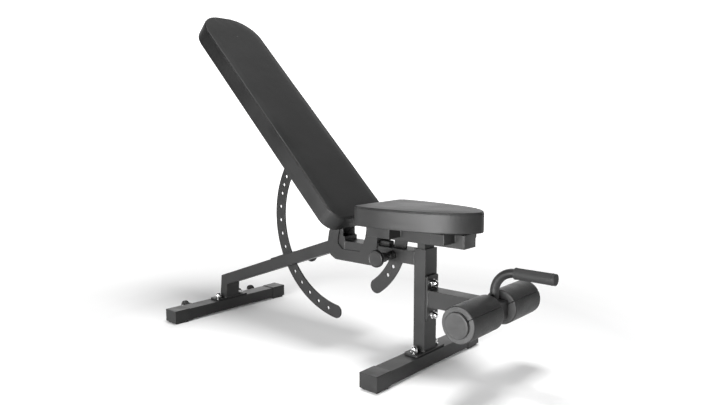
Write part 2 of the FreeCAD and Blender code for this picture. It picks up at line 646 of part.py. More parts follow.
def make_backrest():
    """Built flat, then turned up to the angle it is set at."""
    flat = {}
    x = (PIVOT_X - BACK_TUBE_S[1], PIVOT_X - BACK_TUBE_S[0])
    z = above_pivot(BACK_TUBE_N)
    tube = rect_tube(x, half(BACK_TUBE_WIDTH), z, "x")
    sleeve_r = PIVOT_BOLT_R + 1.5
    flat["back_tube"] = tube.cut(across(sleeve_r, PIVOT_X, PIVOT_Z, (-30, 30)))

    caps = []
    for end, outward in ((x[0], -1), (x[1], 1)):
        flange = box(sorted((end, end + outward * 4)), half(BACK_TUBE_WIDTH), z)
        plug_z = (z[0] + WALL, z[1] - WALL)
        plug_x = sorted((end, end - outward * 6))
        plug = box(plug_x, half(BACK_TUBE_WIDTH - 2 * WALL), plug_z)
        caps.append(joined([flange, plug]).cut(across(sleeve_r + 0.3, PIVOT_X, PIVOT_Z, (-30, 30))))
    flat["back_tube_caps"] = Part.makeCompound(caps)

    sleeve_y = half(BACK_TUBE_WIDTH + 1)
    sleeve = across(sleeve_r, PIVOT_X, PIVOT_Z, sleeve_y)
    flat["back_pivot_sleeve"] = sleeve.cut(across(PIVOT_BOLT_R + RUNNING_GAP, PIVOT_X, PIVOT_Z, (-30, 30)))

    bars = []
    screws = []
    bar_z = (z[1], z[1] + BACK_BAR[2])
    for s in BACK_BAR_S:
        centre = PIVOT_X - s
        bar = box(around(centre, BACK_BAR[0]), half(BACK_BAR[1]), bar_z)
        for y in (-70, 70):
            bar = bar.cut(cylinder(3.7, V(centre, y, bar_z[0] - 1), V(centre, y, bar_z[1] + 1)))
            screws.append(back_screw(centre, y))
        bars.append(bar)
    flat["back_cross_bars"] = Part.makeCompound(bars)
    flat["back_screws"] = Part.makeCompound(screws)

    board_points, board_radii = back_outline(BOARD_INSET)
    board = level_plate(board_points, board_radii, above_pivot(BACK_BOARD_N))
    for s in BACK_BAR_S:
        for y in (-70, 70):
            hole = cylinder(3.5, V(PIVOT_X - s, y, PIVOT_Z + 10), V(PIVOT_X - s, y, PIVOT_Z + 27.5))
            board = board.cut(hole)
    flat["back_board"] = board
    pad_points, pad_radii = back_outline(0)
    pad = level_plate(pad_points, pad_radii, above_pivot(BACK_PAD_N))
    top = PIVOT_Z + BACK_PAD_N[1]
    flat["back_pad"] = pad.makeFillet(8.0, [edge for edge in pad.Edges if edge.BoundBox.ZMin > top - 1])

    holes = [BACK_PIN_POLAR + angle for angle in BACK_ANGLES]
    tip = BACK_TIP_POLAR + BACK_REST_ANGLE
    plate = position_plate(BACK_ARC_R, BACK_HOLE_R, holes, 183.0, tip)
    above_tube = box((-600, 400), (-10, 10), (PIVOT_Z + BACK_TUBE_N[0], PIVOT_Z + 60))
    flat["back_arc"] = plate.cut(above_tube)

    for name, shape in flat.items():
        shape.rotate(V(PIVOT_X, 0, PIVOT_Z), Y_AXIS, BACK_REST_ANGLE)
        PARTS[name] = shape


# ---- Seat -------------------------------------------------------------------------------------


def hinge_plate():
    """A U-shaped plate: one arm holds the pivot, the other is welded to the seat tube's side."""
    eye = PIVOT_EYE_R
    corners = [
        ((-13.1, 10.1), 0), ((-40, -25), 20), ((-46, -59), 30), ((-40, -102), 22), ((-12, -117), 18),
        ((150, -117), 18), ((160, -73), 20), ((163, -33), 10), ((160, 5), 0), ((121, 5), 0),
        ((114, -33), 25), ((96, -79), 9), ((20, -81), 12), ((-4, -62), 14), ((4, -20), 0), ((16, -4), 0),
    ]
    points = [(PIVOT_X + dx, PIVOT_Z + dz) for (dx, dz), _ in corners]
    radii = [radius for _, radius in corners]
    plate = side_plate(points, radii, HINGE_PLATE_Y)
    plate = joined([plate, across(eye, PIVOT_X, PIVOT_Z, HINGE_PLATE_Y)])
    return plate.cut(across(PIVOT_BOLT_R + RUNNING_GAP, PIVOT_X, PIVOT_Z, (20, 50)))


def nose_points(inset, height):
    """Points round the seat's nose from its left side to its right, moved in by the inset."""
    side = PAD_WIDTH / 2
    left = [V(SEAT_SIDE_END, side, height)] + [V(x, y, height) for x, y in SEAT_NOSE]
    right = [V(point.x, -point.y, height) for point in reversed(left)]
    points = left + [V(SEAT_NOSE_TIP, 0, height)] + right
    moved = [points[0] - Y_AXIS * inset]
    for before, point, after in zip(points, points[1:], points[2:]):
        along = after - before
        moved.append(point + V(along.y, -along.x, 0).normalize() * inset)
    moved.append(points[-1] + Y_AXIS * inset)
    return moved


def seat_slab(inset, z):
    """A slab with the seat's outline: square behind, drawn in to a rounded nose in front."""
    points = nose_points(inset, z[0])
    nose = Part.BSplineCurve()
    nose.interpolate(Points=points, InitialTangent=X_AXIS, FinalTangent=X_AXIS * -1)
    side = PAD_WIDTH / 2 - inset
    rear = SEAT_PAD_REAR + inset
    radius = SEAT_REAR_R - inset
    turn = radius * (1 - math.sin(math.radians(45)))
    left_end = V(rear + radius, side, z[0])
    left_middle = V(rear + turn, side - turn, z[0])
    left_start = V(rear, side - radius, z[0])
    right_start = V(rear + radius, -side, z[0])
    right_middle = V(rear + turn, turn - side, z[0])
    right_end = V(rear, radius - side, z[0])
    edges = [
        nose.toShape(),
        Part.LineSegment(points[-1], right_start).toShape(),
        Part.Arc(right_start, right_middle, right_end).toShape(),
        Part.LineSegment(right_end, left_start).toShape(),
        Part.Arc(left_start, left_middle, left_end).toShape(),
        Part.LineSegment(left_end, points[0]).toShape(),
    ]
    return Part.Face(Part.Wire(edges)).extrude(V(0, 0, z[1] - z[0]))


def cross_member(spec, with_plugs):
    """A box member across the seat tube, notched over it; with_plugs gives its end plugs instead."""
    x = (spec[0], spec[1])
    z = (spec[2], SEAT_BOARD_Z[0])
    end = MEMBER_HALF - 2.0
    if with_plugs:
        flange = box(x, (end, MEMBER_HALF), z)
        inner_x = (x[0] + WALL, x[1] - WALL)
        inner_z = (z[0] + WALL, z[1] - WALL)
        return both_sides(joined([flange, box(inner_x, (end - 5, end), inner_z)]))
    member = rect_tube(x, (-end, end), z, "y")
    notch = HINGE_PLATE_Y[0]
    return member.cut(box((x[0] - 1, x[1] + 1), (-notch, notch), (300, SEAT_TUBE_Z[1])))


def seat_screw(x, y, member_bottom):
    head = cylinder(7.0, V(x, y, member_bottom - 4.5), V(x, y, member_bottom))
    return joined([head, cylinder(3.5, V(x, y, member_bottom), V(x, y, SEAT_BOARD_Z[1] - 2))])


def make_seat():
    plate = hinge_plate()
    PARTS["seat_hinge_plate_left"] = plate
    PARTS["seat_hinge_plate_right"] = mirrored_y(plate)

    tube_y = (-HINGE_PLATE_Y[0], HINGE_PLATE_Y[0])
    x = SEAT_TUBE_X
    PARTS["seat_tube"] = rect_tube(x, tube_y, SEAT_TUBE_Z, "x")
    caps = []
    for end, outward in ((x[0], -1), (x[1], 1)):
        flange = box(sorted((end, end + outward * 4)), tube_y, SEAT_TUBE_Z)
        plug_y = (tube_y[0] + WALL, tube_y[1] - WALL)
        plug_z = (SEAT_TUBE_Z[0] + WALL, SEAT_TUBE_Z[1] - WALL)
        plug = box(sorted((end, end - outward * 12)), plug_y, plug_z)
        caps.append(joined([flange, plug]))
    PARTS["seat_tube_caps"] = Part.makeCompound(caps)

    members = (FRONT_MEMBER, REAR_MEMBER)
    bored = []
    screws = []
    board = seat_slab(BOARD_INSET, SEAT_BOARD_Z)
    for spec, (screw_x, screw_y) in zip(members, SEAT_SCREWS):
        member = cross_member(spec, False)
        for y in (-screw_y, screw_y):
            hole = cylinder(3.7, V(screw_x, y, 300), V(screw_x, y, SEAT_BOARD_Z[0] + 1))
            member = member.cut(hole)
            board = board.cut(cylinder(3.5, V(screw_x, y, 300), V(screw_x, y, SEAT_BOARD_Z[1] - 2)))
            screws.append(seat_screw(screw_x, y, spec[2]))
        bored.append(member)
    PARTS["seat_front_cross_member"] = bored[0]
    PARTS["seat_rear_cross_member"] = bored[1]
    PARTS["seat_member_plugs"] = Part.makeCompound([cross_member(spec, True) for spec in members])
    PARTS["seat_screws"] = Part.makeCompound(screws)
    PARTS["seat_board"] = board
    pad = seat_slab(0, SEAT_PAD_Z)
    rim = [edge for edge in pad.Edges if edge.BoundBox.ZMin > SEAT_PAD_Z[1] - 1]
    PARTS["seat_pad"] = pad.makeFillet(8.0, rim)

    holes = [SEAT_PIN_POLAR - angle for angle in SEAT_ANGLES]
    arc = position_plate(SEAT_ARC_R, SEAT_HOLE_R, holes, 0.0, SEAT_TIP_POLAR)
    PARTS["seat_arc"] = arc.cut(box((0, 400), (-10, 10), (SEAT_TUBE_Z[0], 500)))


def main():
    make_feet()
    make_fasteners()
    make_upright()
    make_beams()
    make_pivot_post()
    make_pivot_bolt()
    make_leg_section()
    make_handle()
    make_roller(1)
    make_roller(-1)
    seat_pin_x, seat_pin_z = at_polar(SEAT_HOLE_R, SEAT_PIN_POLAR)
    make_pull_pin("seat", seat_pin_x, seat_pin_z, -1)
    back_pin_x, back_pin_z = at_polar(BACK_HOLE_R, BACK_PIN_POLAR)
    make_pull_pin("back", back_pin_x, back_pin_z, 1)
    make_wheels()
    make_backrest()
    make_seat()
    os.makedirs("parts", exist_ok=True)
    for name, shape in PARTS.items():
        shape.exportStep("parts/" + name + ".step")
        print(name, len(shape.Solids), shape.isValid(), round(shape.Volume))


main()
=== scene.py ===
import json
import math

import bmesh
import bpy
import numpy as np
from mathutils import Matrix, Vector, noise


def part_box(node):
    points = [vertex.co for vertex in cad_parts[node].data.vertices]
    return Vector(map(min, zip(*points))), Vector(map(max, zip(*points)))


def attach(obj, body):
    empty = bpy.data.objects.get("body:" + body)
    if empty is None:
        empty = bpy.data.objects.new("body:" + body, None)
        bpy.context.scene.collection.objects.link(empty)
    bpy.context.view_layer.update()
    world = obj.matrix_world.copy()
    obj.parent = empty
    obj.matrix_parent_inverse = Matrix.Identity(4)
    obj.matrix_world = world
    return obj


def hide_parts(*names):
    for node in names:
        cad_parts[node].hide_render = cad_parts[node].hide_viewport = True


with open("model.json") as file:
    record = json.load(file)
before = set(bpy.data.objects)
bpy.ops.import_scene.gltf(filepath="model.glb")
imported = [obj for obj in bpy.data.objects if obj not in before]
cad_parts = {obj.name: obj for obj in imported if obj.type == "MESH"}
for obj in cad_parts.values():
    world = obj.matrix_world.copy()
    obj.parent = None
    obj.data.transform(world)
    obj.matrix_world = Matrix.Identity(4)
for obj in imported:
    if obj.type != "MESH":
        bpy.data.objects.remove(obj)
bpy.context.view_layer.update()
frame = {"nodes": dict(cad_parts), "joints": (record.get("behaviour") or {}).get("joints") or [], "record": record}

MM = 0.001
NODES = frame["nodes"]
SLOT_OF = {part["node"]: part["material_slot"] for part in frame["record"]["subparts"]}
PIVOT = Vector(next(j for j in frame["joints"] if j["name"] == "backrest_hinge")["pos_m"])
BACK_ANGLE = math.radians(45)

# The backrest is shaped lying flat and then turned up about the pivot, as its CAD nodes are.
RAISE = Matrix.Translation(PIVOT) @ Matrix.Rotation(BACK_ANGLE, 4, "Y") @ Matrix.Translation(-PIVOT)
LEVEL = Matrix.Identity(4)


# ---- Materials ----


def set_inputs(node, **values):
    """Set a node's inputs, each named with _ for a space."""
    for name, value in values.items():
        node.inputs[name.replace("_", " ")].default_value = value
    return node


def add_node(tree, kind, **values):
    return set_inputs(tree.nodes.new("ShaderNode" + kind), **values)


def grey(value):
    return (value, value, value, 1.0)


class Finish:
    """A grey Principled material whose colour, roughness and bump come from procedural textures."""

    def __init__(self, name, tone, roughness, metallic=0.0, specular=0.5):
        self.material = bpy.data.materials.new(name)
        self.material.use_nodes = True
        self.tree = self.material.node_tree
        self.tone = tone
        self.shader = self.tree.nodes["Principled BSDF"]
        set_inputs(self.shader, Base_Color=grey(tone), Roughness=roughness, Metallic=metallic)
        set_inputs(self.shader, Specular_IOR_Level=specular)
        self.place = add_node(self.tree, "TexCoord").outputs["Object"]
        self.normal = None

    def link(self, output, socket):
        self.tree.links.new(output, socket)

    def stretched(self, factors):
        mapping = add_node(self.tree, "Mapping", Scale=factors)
        self.link(self.place, mapping.inputs["Vector"])
        return mapping.outputs["Vector"]

    def noise(self, scale, detail=3.0, roughness=0.5, factors=None):
        node = add_node(self.tree, "TexNoise", Scale=scale, Detail=detail, Roughness=roughness)
        self.link(self.stretched(factors) if factors else self.place, node.inputs["Vector"])
        return node.outputs["Fac"]

    def cells(self, scale, feature="F1", smooth=None):
        node = add_node(self.tree, "TexVoronoi", Scale=scale)
        node.feature = feature
        if smooth is not None:
            set_inputs(node, Smoothness=smooth)
        self.link(self.place, node.inputs["Vector"])
        return node.outputs["Distance"]

    def span(self, source, low, high, start=0.3, end=0.7):
        """The source remapped from start..end to low..high."""
        node = add_node(self.tree, "MapRange", From_Min=start, From_Max=end, To_Min=low, To_Max=high)
        self.link(source, node.inputs["Value"])
        return node.outputs["Result"]

    def added(self, first, second, weight):
        """The first source plus the second times weight."""
        node = add_node(self.tree, "Math")
        node.operation = "MULTIPLY_ADD"
        node.inputs[1].default_value = weight
        self.link(second, node.inputs[0])
        self.link(first, node.inputs[2])
        return node.outputs["Value"]

    def colours(self, source, dark, light, start=0.35, end=0.65):
        """Colours from dark to light, as factors of the tone, as the source goes from start to end."""
        ramp = add_node(self.tree, "ValToRGB")
        for stop, place, factor in zip(ramp.color_ramp.elements, (start, end), (dark, light)):
            stop.position = place
            stop.color = grey(self.tone * factor)
        self.link(source, ramp.inputs["Fac"])
        self.link(ramp.outputs["Color"], self.shader.inputs["Base Color"])

    def rough(self, source, low, high, start=0.3, end=0.7):
        self.link(self.span(source, low, high, start, end), self.shader.inputs["Roughness"])

    def bump(self, source, strength, distance):
        node = add_node(self.tree, "Bump", Strength=strength, Distance=distance)
        self.link(source, node.inputs["Height"])
        if self.normal is not None:
            self.link(self.normal, node.inputs["Normal"])
        self.normal = node.outputs["Normal"]
        self.link(self.normal, self.shader.inputs["Normal"])


def powder_coat(name, tone, roughness):
    """Baked powder paint: orange peel, fine speckle and slow changes of sheen."""
    made = Finish(name, tone, roughness, specular=0.3)
    speckle = made.noise(2600.0, 2.0)
    cloud = made.noise(9.0, 4.0)
    made.colours(made.added(cloud, speckle, 0.35), 0.82, 1.2, 0.45, 0.9)
    made.rough(made.added(cloud, speckle, 0.3), roughness - 0.07, roughness + 0.08, 0.45, 0.85)
    made.bump(made.noise(420.0, 2.0), 0.22, 0.0004)
    made.bump(speckle, 0.16, 0.0002)
    return made.material


def vinyl(name, tone):
    """Upholstery vinyl: small pebble grain, shallow creases and slight changes of sheen."""
    made = Finish(name, tone, 0.46, specular=0.26)
    pebbles = made.cells(720.0, "SMOOTH_F1", 0.35)
    pores = made.noise(1900.0, 2.0)
    cloud = made.noise(7.0, 4.0)
    made.colours(made.added(cloud, pebbles, -0.25), 0.8, 1.22, 0.28, 0.55)
    made.rough(made.added(cloud, pores, 0.25), 0.4, 0.54, 0.42, 0.82)
    made.bump(made.noise(38.0, 3.0), 0.12, 0.0008)
    made.bump(pebbles, 0.3, 0.0003)
    made.bump(pores, 0.12, 0.0002)
    return made.material


def foam(name, tone, roughness):
    """Closed-cell foam with a rubbed skin: fine pores and a slightly uneven surface."""
    made = Finish(name, tone, roughness, specular=0.3)
    pores = made.cells(1500.0)
    cloud = made.noise(22.0, 4.0)
    made.colours(made.added(cloud, pores, -0.2), 0.8, 1.25, 0.3, 0.58)
    made.rough(cloud, roughness - 0.08, roughness + 0.08)
    made.bump(made.noise(60.0, 3.0), 0.2, 0.0008)
    made.bump(pores, 0.35, 0.0003)
    return made.material


def moulded(name, tone, roughness, grain=900.0):
    """Moulded plastic or rubber with an etched texture and handling marks."""
    made = Finish(name, tone, roughness, specular=0.3)
    etched = made.noise(grain, 3.0, 0.6)
    cloud = made.noise(30.0, 4.0)
    mottle = made.added(cloud, etched, 0.3)
    made.colours(mottle, 0.8, 1.22, 0.45, 0.85)
    made.rough(cloud, roughness - 0.08, roughness + 0.1)
    made.bump(etched, 0.22, 0.0003)
    made.bump(made.noise(140.0, 2.0), 0.08, 0.0005)
    return made.material


def plated(name, tone, roughness):
    """Bright plated steel with faint polishing marks and dull patches."""
    made = Finish(name, tone, roughness, metallic=1.0)
    marks = made.noise(380.0, 3.0, 0.6, (1.0, 1.0, 9.0))
    cloud = made.noise(120.0, 3.0)
    made.colours(cloud, 0.86, 1.08, 0.35, 0.65)
    made.rough(made.added(cloud, marks, 0.4), roughness - 0.05, roughness + 0.12, 0.45, 0.95)
    made.bump(marks, 0.06, 0.0001)
    return made.material


def weld_metal(name, tone):
    """A weld bead under the same paint: a little glossier, with cooling ripples and spatter."""
    made = Finish(name, tone, 0.42)
    ripple = made.noise(900.0, 2.0)
    made.colours(made.noise(60.0, 3.0), 0.8, 1.3)
    made.rough(ripple, 0.34, 0.52)
    made.bump(ripple, 0.3, 0.0004)
    return made.material


def lining(name, tone):
    """Non-woven dust cover: matted fibres in every direction."""
    made = Finish(name, tone, 0.9, specular=0.2)
    along = made.noise(900.0, 4.0, 0.7, (1.0, 0.12, 1.0))
    across = made.noise(900.0, 4.0, 0.7, (0.12, 1.0, 1.0))
    fibres = made.added(along, across, 1.0)
    made.colours(fibres, 0.6, 1.6, 0.8, 1.2)
    made.rough(fibres, 0.82, 0.98, 0.8, 1.2)
    made.bump(fibres, 0.5, 0.0003)
    return made.material


def thread(name, tone):
    """Twisted polyester sewing thread."""
    made = Finish(name, tone, 0.6, specular=0.35)
    twist = made.noise(3200.0, 2.0, 0.5, (1.0, 1.0, 2.0))
    made.colours(twist, 0.7, 1.4)
    made.rough(twist, 0.5, 0.72)
    made.bump(twist, 0.4, 0.0002)
    return made.material


COAT = powder_coat("powder_coat", 0.011, 0.42)
COAT_EDGE = powder_coat("powder_coat_edge", 0.014, 0.33)
VINYL = vinyl("black_vinyl", 0.011)
FOAM = foam("foam_skin", 0.014, 0.5)
PLASTIC = moulded("black_plastic", 0.011, 0.4)
PLASTIC_EDGE = moulded("black_plastic_edge", 0.016, 0.32)
FOAM_CUT = foam("cut_foam", 0.042, 0.72)
GREY_PLASTIC = moulded("grey_plastic", 0.025, 0.44)
WHEEL = moulded("wheel_plastic", 0.017, 0.46, 700.0)
RUBBER = moulded("black_rubber", 0.012, 0.66, 1400.0)
CHROME = plated("bright_plating", 0.72, 0.16)
STEEL = plated("zinc_steel", 0.5, 0.32)
WELD = weld_metal("painted_weld", 0.016)
LINING = lining("dust_cover_cloth", 0.014)
THREAD = thread("black_thread", 0.014)

SURFACES = {
    "painted_steel": COAT, "upholstery": VINYL, "rubber": RUBBER, "foam": FOAM,
    "black_plastic": PLASTIC, "grey_plastic": GREY_PLASTIC, "wheel_plastic": WHEEL,
    "chrome": CHROME, "wood": LINING,
}
WORN_EDGES = {"painted_steel": COAT_EDGE, "black_plastic": PLASTIC_EDGE}


# ---- Mesh helpers ----


def corners(node, turn=LEVEL):
    """A CAD node's points, turned."""
    return [turn @ vertex.co for vertex in NODES[node].data.vertices]


def modifier(obj, name, kind, **settings):
    added = obj.modifiers.new(name, kind)
    for key, value in settings.items():
        setattr(added, key, value)
    return added


def mesh_object(name, vertices, faces, material):
    """An object from points and faces, with normals outwards and repeated corners dropped."""
    mesh = bpy.data.meshes.new(name)
    clean = [list(dict.fromkeys(int(corner) for corner in face)) for face in faces]
    clean = [face for face in clean if len(face) > 2]
    mesh.from_pydata([tuple(map(float, point)) for point in vertices], [], clean)
    mesh.validate()
    work = bmesh.new()
    work.from_mesh(mesh)
    loose = [vertex for vertex in work.verts if not vertex.link_faces]
    bmesh.ops.delete(work, geom=loose, context="VERTS")
    bmesh.ops.recalc_face_normals(work, faces=work.faces)
    work.to_mesh(mesh)
    work.free()
    mesh.polygons.foreach_set("use_smooth", [True] * len(mesh.polygons))
    mesh.materials.append(material)
    obj = bpy.data.objects.new(name, mesh)
    bpy.context.scene.collection.objects.link(obj)
    return obj


def placed(obj, body, replaces=()):
    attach(obj, body)
    if replaces:
        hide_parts(*replaces)
    return obj


def grid_faces(rows, columns, close_rows=False, close_columns=False):
    """Quads of a grid whose points are numbered row by row."""
    faces = []
    for row in range(rows if close_rows else rows - 1):
        below = (row + 1) % rows
        for column in range(columns if close_columns else columns - 1):
            beside = (column + 1) % columns
            faces.append((
                row * columns + column, row * columns + beside,
                below * columns + beside, below * columns + column,
            ))
    return faces


def welded(points, tolerance=1e-5):
    """Unique points, and for each given point the number of its unique one."""
    keys = np.round(np.asarray(points) / tolerance).astype(np.int64)
    _, first, numbers = np.unique(keys, axis=0, return_index=True, return_inverse=True)
    return np.asarray(points)[first], numbers.reshape(-1)


def renumbered(faces, numbers):
    """The faces with each corner looked up in numbers."""
    return [[numbers[corner] for corner in face] for face in faces]


def tube_faces(base, rows, sides, closed=False):
    """Faces of a tube of rings, the first point numbered base. An open tube gets two end caps."""
    faces = [[base + corner for corner in face] for face in grid_faces(rows, sides, closed, True)]
    if not closed:
        faces.append([base + step for step in range(sides - 1, -1, -1)])
        faces.append([base + (rows - 1) * sides + step for step in range(sides)])
    return faces


def round_box(node):
    """A turned node's axis in metres as (x, z), and its radius, nearest and furthest |y| in mm."""
    low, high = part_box(node)
    centre = ((low.x + high.x) / 2, (low.z + high.z) / 2)
    near, far = sorted((abs(low.y) / MM, abs(high.y) / MM))
    return centre, (high.z - low.z) / 2 / MM, near, far


def between(grid, places, closed=False):
    """Smooth values of a grid's first axis at fractional places."""
    places = np.asarray(places, float)
    base = np.floor(places).astype(int)
    part = (places - base).reshape(-1, *([1] * (grid.ndim - 1)))

    def at(step):
        index = base + step
        return grid[index % len(grid) if closed else np.clip(index, 0, len(grid) - 1)]

    before, start, end, after = at(-1), at(0), at(1), at(2)
    return start + 0.5 * part * (
        end - before
        + part * (2 * before - 5 * start + 4 * end - after + part * (3 * (start - end) + after - before))
    )


def sampled(line, travel, places):
    """Points at the given places along a line whose points lie at travel."""
    return np.stack([np.interp(places, travel, column) for column in line.T], axis=-1)


def soft_noise(points, scale, seed):
    """Smooth noise from -1 to 1 at each point; scale is in cells a metre."""
    shift = Vector((seed * 13.7, seed * 5.1, seed * 9.3))
    return np.array([noise.noise(Vector(point) * scale + shift) for point in points.reshape(-1, 3)])


def grid_normals(grid):
    """Unit normals of a grid closed along its columns."""
    along = np.roll(grid, -1, axis=1) - np.roll(grid, 1, axis=1)
    up = np.gradient(grid, axis=0)
    normals = np.cross(along, up)
    normals /= np.maximum(np.linalg.norm(normals, axis=2, keepdims=True), 1e-12)
    normals[0] = (0, 0, -1)
    normals[-1] = (0, 0, 1)
    return normals


def turned(name, profile, centre, side, material, segments=64, wave=None):
    """A closed solid of revolution about a line along Y. profile holds (radius, |y|) in mm; side is
    +1 or -1; wave gives a radius change in mm from the angle and the point's |y|."""
    rows = []
    for radius, distance in profile:
        for step in range(segments):
            angle = 2 * math.pi * step / segments
            reach = radius + (wave(angle, distance) if wave and radius > 0 else 0.0)
            rows.append((
                centre[0] + reach * MM * math.cos(angle),
                side * distance * MM,
                centre[1] + reach * MM * math.sin(angle),
            ))
    closed = profile[0][0] > 0 and profile[-1][0] > 0
    points, numbers = welded(rows)
    faces = grid_faces(len(profile), segments, close_rows=closed, close_columns=True)
    return mesh_object(name, points, renumbered(faces, numbers), material)


def rounded(profile, radius, steps=4):
    """The profile with its corners cut by short arcs of at most the given radius, in mm."""
    points = [Vector(point) for point in profile]
    result = [points[0]]
    for before, corner, after in zip(points, points[1:], points[2:]):
        reach = min(radius, (before - corner).length * 0.45, (after - corner).length * 0.45)
        start = corner + (before - corner).normalized() * reach
        end = corner + (after - corner).normalized() * reach
        for step in range(steps + 1):
            share = step / steps
            result.append(start.lerp(corner, share).lerp(corner.lerp(end, share), share))
    result.append(points[-1])
    return [tuple(point) for point in result]


# ---- CAD nodes that stay ----

# Bevel widths in mm.
EDGE = 0.8
SLOT_EDGES = {"rubber": 1.2, "chrome": 0.5}
TUBE_EDGE = 2.4
TUBES = {
    "front_foot_tube", "rear_foot_tube", "front_upright", "horizontal_beam", "sloped_beam",
    "rear_stub", "leg_tube", "back_tube", "seat_tube",
}
NODE_EDGES = {"back_arc": 0.7, "seat_arc": 0.7, "back_screws": 0.8, "seat_screws": 0.8}


def dress(name, obj):
    """Soft edges and a surface for a CAD node, by modifiers and material slots only."""
    slot = SLOT_OF[name]
    obj.data.materials.clear()
    obj.data.materials.append(SURFACES[slot])
    obj.data.materials.append(WORN_EDGES.get(slot, SURFACES[slot]))
    obj.data.polygons.foreach_set("material_index", [0] * len(obj.data.polygons))
    obj.data.polygons.foreach_set("use_smooth", [True] * len(obj.data.polygons))
    modifier(obj, "weld", "WELD", merge_threshold=2e-6)
    modifier(obj, "planes", "DECIMATE", decimate_type="DISSOLVE", angle_limit=math.radians(0.8))
    width = TUBE_EDGE if name in TUBES else NODE_EDGES.get(name, SLOT_EDGES.get(slot, EDGE))
    modifier(
        obj, "edges", "BEVEL", limit_method="ANGLE", angle_limit=math.radians(34), width=width * MM,
        segments=4 if name in TUBES else 3, material=1, harden_normals=False,
    )
    modifier(obj, "shading", "WEIGHTED_NORMAL", keep_sharp=False, weight=80)


# ---- Upholstery ----

PAD_COLUMNS = 360
# A pad's rows, from its underside: shares of the way out to the edge, then the numbers of rows.
UNDER = (0.0, 0.35, 0.75, 0.86, 1.0)
FOLD_ROWS = 3
SIDE_ROWS = 7
SHOULDER_ROWS = 5
CROWN_ROWS = 16
FIRST_SIDE_ROW = len(UNDER) + FOLD_ROWS
SIM_FRAMES = 20
CLOTH = {
    "quality": 5, "mass": 0.3, "tension_stiffness": 20, "compression_stiffness": 20,
    "shear_stiffness": 8, "bending_stiffness": 6.0, "vertex_group_mass": "pinned",
    "use_pressure": True, "uniform_pressure_force": 4.0,
}


def pad_outline(node, to_flat, count):
    """count + 1 even points on half of a pad's outline, from its +X end to its -X end, y >= 0."""
    points = np.array(corners(node, to_flat))
    low = points[:, 2].min()
    rim = points[(points[:, 2] < low + 1e-5) & (points[:, 1] > 1e-4)]
    middle = (points[:, 0].min() + points[:, 0].max()) / 2
    rim = rim[np.argsort(np.arctan2(rim[:, 1], rim[:, 0] - middle))][:, :2]
    line = np.vstack([[points[:, 0].max(), 0.0], rim, [points[:, 0].min(), 0.0]])
    steps = np.r_[0, np.cumsum(np.linalg.norm(np.diff(line, axis=0), axis=1))]
    even = np.linspace(0, steps[-1], count + 1)
    return sampled(line, steps, even)


class Pad:
    """A foam pad in a sewn cover: a grid of rings, from under the board, up the side and over."""

    def __init__(self, node, board, to_row, spine, hem, bottom_gap=0.6):
        self.to_row = to_row
        to_flat = to_row.inverted()
        line = pad_outline(node, to_flat, PAD_COLUMNS // 2)
        mirrored = line[1:-1][::-1] * [1, -1]
        self.outline = np.vstack([line, mirrored])
        tangent = np.roll(self.outline, -1, axis=0) - np.roll(self.outline, 1, axis=0)
        tangent /= np.linalg.norm(tangent, axis=1, keepdims=True)
        self.inward = np.column_stack([-tangent[:, 1], tangent[:, 0]])
        turn = np.roll(tangent, -1, axis=0) - np.roll(tangent, 1, axis=0)
        self.curve = np.linalg.norm(turn, axis=1)
        low, high = self.outline[:, 0].min(), self.outline[:, 0].max()
        self.middle = np.column_stack([
            np.clip(self.outline[:, 0], low + spine[0], high - spine[1]),
            np.zeros(len(self.outline)),
        ])
        self.board_bottom = min(point.z for point in corners(board, to_flat))
        self.bottom = self.board_bottom + bottom_gap * MM
        self.top = max(point.z for point in corners(node, to_flat))
        # How far the folded edge hangs under the board: not at all over the parts in the middle.
        self.hem = hem * MM * np.clip((np.abs(self.outline[:, 1]) - 0.045) / 0.02, 0, 1)

    def rim(self, inset, height):
        points = self.outline + self.inward * inset
        return np.column_stack([points, np.full(len(points), height)])

    def rings(self, shrink_side, shrink_top, fold, shoulder):
        """Rings of the slack cover. Returns the grid and the number of the seam's ring."""
        top = self.top - shrink_top
        rows = []
        spine = np.column_stack([self.middle, np.full(len(self.middle), self.bottom)])
        inner = self.rim(shrink_side + fold, self.bottom)
        for share in UNDER:
            rows.append(spine * (1 - share) + inner * share)
            rows[-1][:, 2] -= self.hem * min(1.0, max(0.0, (share - 0.75) / 0.11))
        for step in range(1, FOLD_ROWS + 1):
            angle = math.pi / 2 * step / FOLD_ROWS
            inset = shrink_side + fold * (1 - math.sin(angle))
            rows.append(self.rim(inset, self.bottom - self.hem + fold * (1 - math.cos(angle))))
        side_low, side_high = self.bottom - self.hem + fold, top - shoulder
        for step in range(1, SIDE_ROWS + 1):
            rows.append(self.rim(shrink_side, side_low + (side_high - side_low) * step / SIDE_ROWS))
        seam = len(rows)
        for step in range(1, SHOULDER_ROWS + 1):
            angle = math.pi / 2 * step / SHOULDER_ROWS
            inset = shrink_side + shoulder * (1 - math.cos(angle))
            rows.append(self.rim(inset, side_high + shoulder * math.sin(angle)))
        outer = rows[-1]
        crown = np.column_stack([self.middle, np.full(len(self.middle), top)])
        for share in np.linspace(0, 1, CROWN_ROWS + 1)[1:]:
            rows.append(outer * (1 - share) + crown * share)
        return np.array(rows), seam


